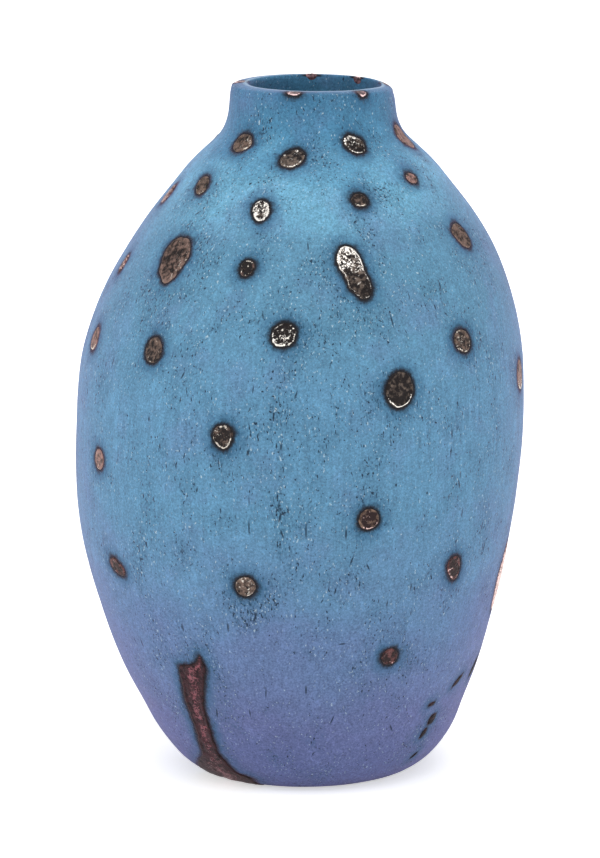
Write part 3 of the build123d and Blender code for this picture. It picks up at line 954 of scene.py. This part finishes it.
def white_ground(name, glow):
    """A matt painted board. To the camera it is bright enough to be white, and it keeps the shadow."""
    material, add = new_material(name)
    rays = add("LightPath", {}).node.outputs
    seen = add("Math", (rays["Is Camera Ray"], rays["Is Glossy Ray"]), operation="MAXIMUM")
    seen = add("Math", (seen, rays["Is Transmission Ray"]), operation="MAXIMUM")
    place = add("TexCoord", {}, "Object")
    away = add("VectorMath", (place,), "Value", operation="LENGTH")
    lift = add("MapRange", (away, 300 * MM, 1200 * MM, glow, 1.0))
    strength = add("Math", (seen, lift), operation="MULTIPLY")
    shader = add("BsdfPrincipled", {
        "Base Color": linear("#f2f2f2"), "Roughness": 0.9, "Emission Color": linear("#ffffff"),
        "Emission Strength": strength})
    add("OutputMaterial", {"Surface": shader})
    return material


# What the operators share

# The common look of a pellet, with the levels of its painted highlights, which also polish its metal
LOOK = {
    "segments": 64, "rings": 14, "crown": 0.25, "ring": 0.18, "ring_in": 0.8, "rough": 0.3, "blister": 0.5,
    "sink": 0.35, "edge": 0.36, "depth": 1.8, "shine": 0.0, "highlight_up": 0.0, "highlight_side": 0.0,
    "lit_crescent": 0.5, "ring_highlight": 0.0, "dark": 0.12, "dark_up": 0.0, "dark_middle": 0.1, "tint": 0.0,
}

# How single pellets differ from the common look: where their painted highlights lie, where they are dark, and
# how domed
PELLET_LOOKS = {
    "neck_pellet_left": {"highlight_side": 0.32, "lit_crescent": 0.2, "dark": 0.05, "dark_up": 0.3},
    "neck_pellet_front": {"shine": 0.06, "highlight_up": 0.1, "lit_crescent": 0.75, "dark": 0.3, "dark_up": 0.45},
    "neck_pellet_right": {"shine": 0.1, "highlight_up": 0.36, "highlight_side": -0.1, "ring_highlight": 0.2,
                          "lit_crescent": 0.6, "dark": 0.5, "dark_middle": 0.3},
    "neck_pellet_far_right": {"tint": 1.0, "lit_crescent": 0.1, "dark": 0.0, "dark_middle": 0.0, "rough": 0.15},
    "shoulder_pellet_right": {"tint": 1.0, "lit_crescent": 0.2, "dark": 0.0, "dark_middle": 0.0},
    "shoulder_pellet_front_left": {"shine": 0.34, "ring_highlight": 0.2, "lit_crescent": 0.4, "ring": 0.35,
                                   "dark": 0.6},
    "shoulder_pellet_front_right": {"lit_crescent": 0.55, "dark": 0.55},
    "shoulder_pellet_half_moon": {"lit_crescent": 0.2, "dark": 0.05, "tint": 0.2},
    "belly_pellet_front": {"shine": 0.2, "highlight_up": -0.16, "highlight_side": -0.08, "crown": 0.1, "ring": 0.35,
                           "ring_highlight": 0.26, "lit_crescent": 0.2, "dark": 1.0},
    "upper_pellet_front_left": {"ring": 0.5, "crown": -0.2, "ring_highlight": 0.3, "lit_crescent": 0.0,
                                "dark": 0.35, "dark_middle": 0.65, "tint": 0.5},
    "upper_bean_front_right": {"shine": 0.16, "highlight_up": 0.3, "crown": 0.5, "blister": 0.9,
                               "ring_highlight": 0.42, "lit_crescent": 0.1, "dark": 0.45, "dark_up": -0.1},
    "upper_teardrop_left": {"highlight_side": 0.22, "crown": 0.15, "lit_crescent": 0.05, "dark": 0.0,
                            "dark_middle": 0.5, "tint": 0.25},
    "belly_pellet_left": {"lit_crescent": 0.2, "dark": 0.35},
    "belly_pellet_right": {"shine": 0.08, "highlight_up": 0.12, "dark": 0.15, "dark_middle": 0.2},
    "belly_pellet_far_left": {"tint": 1.0, "highlight_up": -0.2, "dark": 0.0, "dark_middle": 0.0},
    "belly_pellet_far_right": {"tint": 0.9, "highlight_up": -0.3, "dark": 0.0, "dark_middle": 0.0},
    "belly_pellet_large": {"shine": -0.1, "ring": 0.4, "crown": 0.35, "lit_crescent": 1.0, "dark": 0.6},
    "waist_pellet_far_left": {"tint": 1.0, "lit_crescent": 0.2, "dark": 0.0, "dark_middle": 0.0},
    "waist_egg_front_left": {"shine": 0.08, "ring": 0.45, "ring_highlight": 0.2, "lit_crescent": 0.35, "dark": 0.6},
    "waist_pellet_front_right": {"ring": 0.45, "ring_highlight": 0.1, "lit_crescent": 0.45, "dark": 0.1,
                                 "dark_middle": 0.8, "tint": 1.0},
    "lower_egg_right": {"ring_highlight": 0.25, "lit_crescent": 0.3, "dark": 0.1, "dark_middle": 0.7},
    "lower_pellet_front": {"shine": 0.2, "lit_crescent": 0.15, "dark": 0.15, "dark_middle": 0.0},
    "lower_bean_left": {"lit_crescent": 0.1, "dark": 0.45},
    "lower_slab_far_right": {"shine": 0.5, "edge": 0.9, "dark": 0.3},
    "upper_sliver_left": {"shine": 0.4, "lit_crescent": 0.0, "edge": 0.6},
    "shoulder_pellet_far_left": {"shine": 0.45, "lit_crescent": 0.1, "edge": 0.6},
    "foot_pellet_right": {"ring": 0.35, "lit_crescent": 0.2, "dark": 0.35, "dark_middle": 0.3},
}
RIM_LOOK = {"ring_highlight": 0.1, "lit_crescent": 1.0, "dark": 0.3, "crown": 0.05, "ring": 0.08, "rough": 0.15,
            "blister": 0.2, "depth": 1.2}
FLECK_LOOK = {"segments": 28, "rings": 6, "ring": 0.1, "ring_in": 0.6, "sink": 0.3, "depth": 0.9, "dark": 0.5,
              "lit_crescent": 0.0, "edge": 0.5}
FLECK_SEED = 70
STRIP_LOOK = {"columns": 20, "lift": 0.25, "rough": 0.7, "ring": 0.2, "sink": 0.4, "edge": 0.9, "depth": 1.2}

# Dark, middle and tinted colours of each clay, the bright colour of its polished metal and painted
# highlights, and how metallic and glossy its skin is
CLAYS = {
    "bronze_clay": ("manganese_bronze_clay", "#1a1110", "#7a655a", "#a07c75", "#e6dcd0", 0.2, 0.3),
    "silvered_clay": ("silvered_manganese_clay", "#181010", "#76675d", "#76675d", "#f8f2ea", 0.35, 0.3),
    "copper_red_clay": ("copper_red_clay", "#241011", "#774a49", "#8a7060", "#f2cfc9", 0.2, 0.3),
    "rosy_clay": ("rosy_copper_clay", "#38232a", "#986f74", "#986f74", "#f4d5d2", 0.2, 0.5),
    "iron_brown_clay": ("iron_brown_slip", "#1a1014", "#43292e", "#43292e", "#865259", 0.0, 0.12),
}

# Where copper gathered into dark teal drifts and rows of pits: the pixel of the photograph, half the
# width and height in millimetres, and how strongly
GATHERINGS = (
    (201, 243, 3.0, 9.0, 1.0), (150, 301, 6.0, 9.0, 0.9), (215, 263, 4.0, 4.0, 0.6),
    (189, 224, 1.8, 5.0, 0.9), (167, 392, 5.0, 7.0, 0.6), (312, 346, 8.0, 9.0, 0.9),
    (322, 330, 7.0, 5.0, 0.7), (282, 417, 6.0, 5.0, 0.6), (279, 515, 1.6, 11.0, 1.0),
    (181, 560, 8.0, 8.0, 0.9), (157, 455, 3.0, 4.0, 0.6), (255, 617, 6.0, 7.0, 1.0),
    (325, 577, 3.0, 8.0, 0.6), (301, 629, 4.0, 3.0, 0.6), (219, 715, 3.5, 7.0, 0.7),
    (374, 330, 4.0, 3.5, 0.7), (383, 430, 9.0, 9.0, 0.6), (450, 454, 4.0, 13.0, 0.8),
    (500, 430, 5.0, 13.0, 0.6), (372, 497, 5.0, 4.0, 0.8), (352, 561, 4.0, 9.0, 0.8),
    (483, 535, 4.0, 12.0, 0.7), (248, 480, 1.5, 9.0, 0.8), (430, 305, 5.0, 6.0, 0.5),
)

# Single scratches and chips: the pixel of the photograph, the lean to the right in degrees, the width
# and length in millimetres, and how dark
SCRATCHES = (
    (308, 246, -4, 0.5, 4.6, 1.0), (198, 213, 40, 0.7, 2.8, 1.0), (188, 225, 25, 0.7, 4.6, 0.6),
    (275, 154, 90, 0.7, 1.9, 0.9), (263, 316, -10, 0.6, 3.0, 0.9), (440, 286, 0, 0.6, 5.6, 1.0),
    (435, 307, -10, 0.7, 3.0, 1.0), (392, 321, -8, 0.6, 6.5, 1.0), (475, 282, 0, 0.6, 3.0, 0.9),
    (409, 296, 0, 0.5, 3.5, 0.8), (113, 362, 5, 0.6, 5.0, 0.9), (183, 375, 25, 0.7, 3.6, 1.0),
    (149, 419, 0, 0.8, 2.2, 1.0), (253, 390, 5, 0.6, 4.0, 0.8), (296, 395, 20, 0.7, 3.5, 0.9),
    (281, 447, 0, 0.9, 3.2, 0.9), (197, 490, 10, 0.8, 2.0, 1.0), (249, 501, 0, 0.5, 5.0, 0.7),
    (249, 527, 0, 0.6, 6.0, 1.0), (279, 507, 0, 0.7, 5.0, 0.8), (280, 517, 10, 0.9, 5.0, 1.0),
    (282, 534, -20, 0.8, 4.0, 0.9), (306, 531, 0, 0.7, 7.0, 0.9), (142, 559, 80, 0.8, 1.9, 1.0),
    (318, 343, -41, 0.4, 4.4, 0.5), (326, 348, -75, 0.4, 4.2, 0.5), (335, 352, -52, 0.4, 4.2, 0.6),
    (506, 402, 0, 0.4, 4.5, 0.9), (452, 434, 0, 0.7, 4.0, 0.9), (451, 452, 10, 0.8, 5.0, 0.8),
    (459, 484, -15, 0.8, 4.5, 1.0), (427, 493, 0, 0.9, 1.3, 1.0), (396, 485, 0, 0.9, 1.4, 1.0),
    (462, 513, 5, 0.6, 4.0, 0.9), (482, 525, 15, 0.7, 6.0, 0.9), (484, 546, 5, 0.8, 6.0, 0.9),
    (346, 534, 0, 0.9, 5.0, 1.0), (352, 560, 20, 0.8, 5.0, 0.9), (368, 567, -25, 0.7, 3.5, 1.0),
    (142, 643, -10, 0.7, 3.6, 1.0), (135, 640, -20, 0.6, 2.2, 1.0), (183, 628, 0, 0.6, 4.0, 0.9),
    (255, 618, 20, 1.0, 6.0, 0.9), (228, 627, 0, 0.9, 4.5, 0.8), (266, 693, 3, 0.5, 5.0, 1.0),
    (250, 713, 0, 0.7, 4.0, 0.9), (306, 690, 0, 0.8, 5.0, 0.9), (217, 713, 10, 1.0, 5.0, 0.9),
    (411, 587, 0, 0.6, 3.6, 0.9), (387, 604, 0, 0.6, 3.2, 0.9), (342, 644, 88, 0.7, 3.2, 1.0),
    (350, 644, 88, 0.35, 18.0, 0.45), (411, 612, 5, 0.6, 4.0, 0.8), (332, 720, 15, 0.8, 5.0, 0.9),
    (391, 728, -30, 0.8, 4.5, 0.9), (357, 122, -42, 0.4, 5.5, 0.6), (341, 109, -50, 0.4, 4.0, 0.4),
)
# How many scratches are strewn over the wall and, for each square millimetre, in a gathering
STREWN = 170
STREWN_GATHERED = 0.22
# The heights between which they are strewn, and those that keep the gathered ones on the wall
STREWN_HEIGHTS = (8, 285)
HEIGHT_LIMITS = (5, 288)
# Their widths, their lengths as shares of the width, how far they lean and how dark they are
STREWN_WIDTHS = (0.3, 0.6)
LENGTH_SHARES = (1.0, 1.2, 1.6, 2.5, 4.0)
STREWN_LEAN = 14
STREWN_STRENGTHS = (0.35, 1.0)
# How far off the inlays they stay
STREWN_MARGIN = 2.0
# The points round a scratch, how proud it lies and how far its underside sinks in
MARK_POINTS = 10
MARK_LIFT = 0.03
MARK_DEPTH = 0.4
# How far its rim reaches as a share of its width and length, and how uneven that is
MARK_REACH_SHARE = 0.7
MARK_LEAST_SHARE = 0.7
MARK_RAG_SHARE = 0.6
MARK_RAG_SIZE = 1.3
# How much a scratch blends the wall's paint round its points
BLEND = 0.05
# How far from the inlays the glaze stops changing
INLAY_FAR = 20.0
# How much further off the glaze takes the flecks to be, as it hardly darkened round them
FLECK_GAP = 1.3


class Bench:
    """What the operators share: the measured wall, the smooth shell and the inlays' places."""

    @cached_property
    def wall(self):
        return Wall()

    @cached_property
    def shell(self):
        return shell_mesh(self.wall, millimetres(bpy.context.scene.jar_wall))

    @cached_property
    def surface(self):
        vertices, faces, _ = self.shell
        return BVHTree.FromPolygons([Vector(vertex) * MM for vertex in vertices], faces)

    @cached_property
    def inlays(self):
        return read_inlays(self.wall)

    @cached_property
    def strip(self):
        return Strip()

    @cached_property
    def slots(self):
        return {part["node"]: part["material_slot"] for part in frame["record"]["subparts"]}

    @cached_property
    def clays(self):
        return {slot: metal_clay(*values) for slot, values in CLAYS.items()}


bench = Bench()


def clay_piece(name, patch, node):
    """A piece of clay that stands for its node."""
    slot = bench.slots[node]
    new_piece(name, *patch, bench.clays[slot], slot, node)


def millimetres(settings):
    """A settings group with its lengths in millimetres."""
    values = {}
    for name in settings.__annotations__:
        value = getattr(settings, name)
        length = settings.bl_rna.properties[name].unit == "LENGTH"
        values[name] = value / MM if length else value
    return SimpleNamespace(**values)


def sink_sockets(vertices, outside, sizes):
    """Presses the shell in under every inlay. Returns each vertex's distance from the nearest
    inlay's outline, less than nothing within it."""
    rings = []
    for name, group in bench.inlays.items():
        gap = FLECK_GAP if name == FLECK_NODE else 0
        for inlay in group:
            for across, up in inlay.outline:
                start = inlay.point(across, up, RAY_START)
                rings.append((surface_at(bench.surface, start, -inlay.normal)[0], inlay, gap))
    for height, left, right in bench.strip.rows:
        for azimuth in (left, right):
            rings.append((wall_point(bench.surface, azimuth, height)[0], None, 0))
    tree = KDTree(len(rings))
    for index, (point, _, _) in enumerate(rings):
        tree.insert(point, index)
    tree.balance()
    distances = np.full(len(vertices), INLAY_FAR)
    for index in np.nonzero(outside > 0)[0]:
        point = Vector(vertices[index])
        _, nearest, distance = tree.find(point)
        if distance >= INLAY_FAR:
            continue
        _, inlay, gap = rings[nearest]
        if inlay is None:
            azimuth = math.degrees(math.atan2(point.x, -point.y))
            within = bench.strip.holds(azimuth, point.z)
            way = spoke(azimuth)
        else:
            offset = point - inlay.middle
            across, up = offset.dot(inlay.across), offset.dot(inlay.up)
            reach = inlay.reach(math.atan2(up, across))
            within = offset.dot(inlay.normal) > -1 and math.hypot(across, up) < reach
            way = inlay.normal
        distances[index] = -distance if within else distance + gap
        depth = (-distances[index] - sizes.socket_edge) / sizes.socket_edge
        if depth > 0:
            vertices[index] = point - way * sizes.socket_depth * min(depth, 1)
    return distances


def photo_point(x, y):
    """Where the shell shows at a pixel of the photograph."""
    pitch = math.radians(CAMERA_PITCH)
    way = Vector((0, math.cos(pitch), -math.sin(pitch))) * CAMERA_FOCUS_PX
    way += Vector((x - PHOTO_WIDTH_PX / 2, 0, 0))
    way += Vector((0, math.sin(pitch), math.cos(pitch))) * (PHOTO_HEIGHT_PX / 2 - y)
    return bench.surface.ray_cast(Vector(CAMERA_PLACE) * MM, way.normalized())[0] / MM


def gathering(vertices):
    """How strongly the teal gathers at each vertex of the shell."""
    total = np.zeros(len(vertices))
    for x, y, width, height, strength in GATHERINGS:
        offset = vertices - np.array(photo_point(x, y))
        reach = (np.hypot(offset[:, 0], offset[:, 1]) / width) ** 2 + (offset[:, 2] / height) ** 2
        total += strength * np.exp(-reach / 2)
    return total


def scratch_patch(place, normal, lean, width, length, strength, paint_at):
    """One scratch or chip: a small closed patch that lies on the wall and darkens to its middle."""
    across = UP.cross(normal).normalized()
    up = normal.cross(across)
    turn = math.radians(lean)
    rim = []
    for step in range(MARK_POINTS):
        angle = math.tau * step / MARK_POINTS
        rag = wobble(place + Vector((step, 0, 0)), MARK_RAG_SIZE, 61)
        share = (MARK_LEAST_SHARE + MARK_RAG_SHARE * rag) * MARK_REACH_SHARE
        sideways = math.cos(angle) * width * share
        along = math.sin(angle) * length * share
        offset = across * (sideways * math.cos(turn) + along * math.sin(turn))
        offset += up * (along * math.cos(turn) - sideways * math.sin(turn))
        hit, facing, _, _ = bench.surface.find_nearest((place + offset) * MM)
        rim.append(hit / MM + facing * MARK_LIFT)
    # The underside has corners of its own, so that the top is shaded as the wall is
    points = [place + normal * MARK_LIFT, *rim, place - normal * MARK_DEPTH, *rim]
    under = 1 + MARK_POINTS
    faces = []
    for step in range(MARK_POINTS):
        after = (step + 1) % MARK_POINTS
        faces.append((0, 1 + step, 1 + after))
        faces.append((under, under + 1 + after, under + 1 + step))
    return points, faces, paint_at(points) | {"chip": [strength] + [0] * (len(points) - 1)}


def scratches(vertices, layers):
    """Every scratch of the wall: those read off the photograph, more in the gatherings, and some
    strewn all round. Layers are the wall's paint, which each scratch takes from under it."""
    tree = KDTree(len(vertices))
    for index, vertex in enumerate(vertices):
        tree.insert(vertex, index)
    tree.balance()

    def paint_at(points):
        values = {name: [] for name in layers}
        for point in points:
            near = tree.find_n(point, 3)
            weights = [1 / (distance + BLEND) for _, _, distance in near]
            for name, layer in layers.items():
                total = sum(layer[index] * weight for (_, index, _), weight in zip(near, weights))
                values[name].append(total / sum(weights))
        return values

    patches = []
    for x, y, *shape in SCRATCHES:
        place = photo_point(x, y)
        normal = bench.surface.find_nearest(place * MM)[1]
        patches.append(scratch_patch(place, normal, *shape, paint_at))
    draw = random.Random(5)
    places = []
    for x, y, width, height, strength in GATHERINGS:
        middle = photo_point(x, y)
        azimuth = math.degrees(math.atan2(middle.x, -middle.y))
        radius = math.hypot(middle.x, middle.y)
        for _ in range(round(STREWN_GATHERED * strength * width * height * 2)):
            turn = math.degrees(draw.gauss(0, width) / radius)
            places.append((azimuth + turn, middle.z + draw.gauss(0, height)))
    for _ in range(STREWN):
        places.append((draw.uniform(0, 360), draw.uniform(*STREWN_HEIGHTS)))
    low, high = HEIGHT_LIMITS
    for azimuth, height in places:
        width = draw.uniform(*STREWN_WIDTHS)
        length = width * draw.choice(LENGTH_SHARES)
        lean = draw.gauss(0, STREWN_LEAN)
        strength = draw.uniform(*STREWN_STRENGTHS)
        place, normal = wall_point(bench.surface, azimuth, min(max(height, low), high))
        patch = scratch_patch(place, normal, lean, width, length, strength, paint_at)
        if min(patch[2]["inlay_distance"]) > STREWN_MARGIN:
            patches.append(patch)
    return patches


# Settings

def amount(name, value, where, unit="NONE"):
    """A number setting."""
    return FloatProperty(name=name, description=where, default=value, unit=unit)


class WallSettings(bpy.types.PropertyGroup):
    columns: IntProperty(name="Columns", description="Columns of faces round the jar, a multiple of 4",
                         default=416)
    row_spacing: amount("Row spacing", 1.75 * MM, "Rows' distance up the wall", "LENGTH")
    lump_size: amount("Lump size", 46 * MM, "Width of the hand-pinched unevenness", "LENGTH")
    lump_depth: amount("Lump depth", 0.6 * MM, "Depth of the hand-pinched unevenness", "LENGTH")
    scrape_size: amount("Scrape size", 11 * MM, "Width of the scraper's marks", "LENGTH")
    scrape_depth: amount("Scrape depth", 0.2 * MM, "Depth of the scraper's marks", "LENGTH")
    socket_edge: amount("Socket edge", 1.7 * MM, "How far inside an inlay its socket starts", "LENGTH")
    socket_depth: amount("Socket depth", 1.4 * MM, "How deep the wall lies under an inlay", "LENGTH")


def glaze(name, code, where):
    """A colour setting of the glaze."""
    return FloatVectorProperty(name=name, description=where, subtype="COLOR", default=linear(code, False))


class GlazeSettings(bpy.types.PropertyGroup):
    lip: glaze("Lip", "#43789b", "The glaze on the lip")
    neck: glaze("Neck", "#4b85a7", "The glaze on the neck")
    shoulder: glaze("Shoulder", "#6fabc9", "The glaze on the shoulder")
    upper: glaze("Upper wall", "#5c8fad", "The glaze above the belly")
    belly: glaze("Belly", "#6194b6", "The glaze round the belly")
    waist: glaze("Waist", "#6590b5", "The glaze under the belly")
    violet_blue: glaze("Turning blue", "#6684ae", "The glaze where it starts to turn violet")
    turning: glaze("Lower wall", "#697eaa", "The violet glaze of the lower wall")
    low: glaze("Above the foot", "#6873a2", "The violet glaze above the foot")
    foot: glaze("Foot", "#6470a0", "The glaze by the foot")
    cloud: glaze("Clouds", "#707fae", "The violet clouds in the glaze")
    # The colour of the painted highlight along the lip's edge
    lip_highlight: glaze("Lip highlight", "#a4c8d8", "The rubbed edge of the lip")
    stipple: glaze("Stipple", "#285875", "The teal stipple")
    pit: glaze("Pits", "#182c40", "The floors of pits and scratches")
    speck: glaze("Specks", "#c6dbe4", "The quartz grains")
    halo: glaze("Halo", "#2f6285", "The deep blue halo round the clay")
    burnt: glaze("Burnt ring", "#1c2a38", "The navy ring round the clay")
    joint: glaze("Joint", "#0f1217", "The black joint round the clay")


class StageSettings(bpy.types.PropertyGroup):
    top_power: amount("Top light", 14, "Power of the soft light above", "POWER")
    side_power: amount("Side lights", 5, "Power of the right light, which the left one follows", "POWER")
    back_power: amount("Back light", 9, "Power of the soft light behind", "POWER")
    world_strength: amount("Room light", 0.40, "Strength of the room's level light")
    floor_size: amount("Floor size", 12000 * MM, "Width of the floor", "LENGTH")
    floor_glow: amount("Floor glow", 0.55, "How far the floor is lifted to white")


# Operators

class JAR_OT_wall(bpy.types.Operator):
    """Build the jar's faience wall, with a socket under every inlay, and the scratches on it"""

    bl_idname = "jar.wall"
    bl_label = "Faience wall"

    def execute(self, context):
        vertices, faces, outside = bench.shell
        sunk = vertices.copy()
        distances = sink_sockets(sunk, outside, millimetres(context.scene.jar_wall))
        material = faience_blue(context.scene.jar_glaze)
        paint = {"inlay_distance": distances, "outside": outside, "gathering": gathering(vertices)}
        marks = joined(scratches(vertices, paint))
        paint["chip"] = np.zeros(len(vertices))
        slot = bench.slots[SHELL_NODE]
        new_piece("faience_wall", sunk, faces, paint, material, slot, SHELL_NODE)
        new_piece("glaze_scratches", *marks, material, slot)
        return {"FINISHED"}


class JAR_OT_pellets(bpy.types.Operator):
    """Build the clay pellets of the wall and the rim, one piece for each"""

    bl_idname = "jar.pellets"
    bl_label = "Clay pellets"

    def execute(self, context):
        for seed, (name, inlays) in enumerate(bench.inlays.items()):
            if name == FLECK_NODE:
                continue
            look = LOOK | (RIM_LOOK if name.startswith("rim_") else {}) | PELLET_LOOKS.get(name, {})
            clay_piece("clay_" + name, pellet_patch(inlays[0], bench.surface, look, seed), name)
        return {"FINISHED"}


class JAR_OT_flecks(bpy.types.Operator):
    """Build the trail of small clay flecks above the foot"""

    bl_idname = "jar.flecks"
    bl_label = "Foot flecks"

    def execute(self, context):
        patches = []
        for seed, inlay in enumerate(bench.inlays[FLECK_NODE], FLECK_SEED):
            patches.append(pellet_patch(inlay, bench.surface, LOOK | FLECK_LOOK, seed))
        clay_piece("clay_foot_flecks", joined(patches), FLECK_NODE)
        return {"FINISHED"}


class JAR_OT_strip(bpy.types.Operator):
    """Build the dark clay strip that is smeared over the foot's edge"""

    bl_idname = "jar.strip"
    bl_label = "Foot strip"

    def execute(self, context):
        clay_piece("clay_foot_strip", strip_patch(bench.strip, bench.surface, STRIP_LOOK), STRIP_NODE)
        return {"FINISHED"}


class JAR_OT_stage(bpy.types.Operator):
    """Set the floor, the soft lights, the room and the camera"""

    bl_idname = "jar.stage"
    bl_label = "Stage"

    def execute(self, context):
        scene = context.scene
        settings = scene.jar_stage
        half = settings.floor_size / 2
        mesh = bpy.data.meshes.new("floor")
        corners = [(-half, -half, 0), (half, -half, 0), (half, half, 0), (-half, half, 0)]
        mesh.from_pydata(corners, [], [(0, 1, 2, 3)])
        mesh.materials.append(white_ground("painted_board", settings.floor_glow))
        floor = bpy.data.objects.new("floor", mesh)
        scene.collection.objects.link(floor)

        lamps = (
            ("top_light", (0, -700, 1500), 1400, settings.top_power),
            ("left_light", (-1500, -500, 600), 1000, settings.side_power * LEFT_SHARE),
            ("right_light", (1500, -500, 600), 1000, settings.side_power),
            ("back_light", (0, 1300, 1100), 1400, settings.back_power),
        )
        for name, place, size, power in lamps:
            lamp = bpy.data.lights.new(name, "AREA")
            lamp.size = size * MM
            lamp.energy = power
            light = bpy.data.objects.new(name, lamp)
            light.location = Vector(place) * MM
            aim = UP * LAMP_AIM_HEIGHT * MM - light.location
            light.rotation_euler = aim.to_track_quat("-Z", "Y").to_euler()
            scene.collection.objects.link(light)

        world = bpy.data.worlds.new("room")
        world.use_nodes = True
        world.node_tree.nodes.clear()
        add = partial(add_node, world.node_tree)
        rays = add("LightPath", {}).node.outputs
        seen = add("Math", (rays["Is Camera Ray"], rays["Is Transmission Ray"]), operation="MAXIMUM")
        strength = add("MapRange", {0: seen, 3: settings.world_strength, 4: 1.0})
        room = add("Background", {"Color": linear("#ffffff"), "Strength": strength})
        add("OutputWorld", {"Surface": room})
        scene.world = world
        scene.view_settings.view_transform = "Standard"

        lens = bpy.data.cameras.new("photo_camera")
        lens.sensor_fit = "VERTICAL"
        lens.sensor_height = SENSOR
        lens.lens = CAMERA_FOCUS_PX / PHOTO_HEIGHT_PX * SENSOR
        camera = bpy.data.objects.new("photo_camera", lens)
        camera.location = Vector(CAMERA_PLACE) * MM
        camera.rotation_euler = (math.radians(90 - CAMERA_PITCH), 0, 0)
        scene.collection.objects.link(camera)
        scene.camera = camera
        return {"FINISHED"}


class JAR_PT_build(bpy.types.Panel):
    """The jar's parts and their settings"""

    bl_label = "Inlaid faience jar"
    bl_space_type = "VIEW_3D"
    bl_region_type = "UI"
    bl_category = "Jar"

    def draw(self, context):
        layout = self.layout
        for settings, operators in STEPS:
            box = layout.box()
            if settings:
                group = getattr(context.scene, settings)
                for name in group.__annotations__:
                    box.prop(group, name)
            for operator in operators:
                box.operator(operator)


STEPS = (
    ("jar_stage", ("jar.stage",)),
    ("jar_wall", ("jar.wall",)),
    ("jar_glaze", ()),
    (None, ("jar.pellets", "jar.flecks", "jar.strip")),
)
SETTINGS = {"jar_wall": WallSettings, "jar_glaze": GlazeSettings, "jar_stage": StageSettings}
OPERATORS = (JAR_OT_wall, JAR_OT_pellets, JAR_OT_flecks, JAR_OT_strip, JAR_OT_stage)
CLASSES = (*SETTINGS.values(), *OPERATORS, JAR_PT_build)


def register():
    for cls in CLASSES:
        bpy.utils.register_class(cls)
    for name, group in SETTINGS.items():
        setattr(bpy.types.Scene, name, PointerProperty(type=group))


def unregister():
    for name in SETTINGS:
        delattr(bpy.types.Scene, name)
    for cls in reversed(CLASSES):
        bpy.utils.unregister_class(cls)


def main():
    register()
    for _, operators in STEPS:
        for operator in operators:
            group, name = operator.split(".")
            getattr(getattr(bpy.ops, group), name)()


if __name__ == "__main__":
    main()
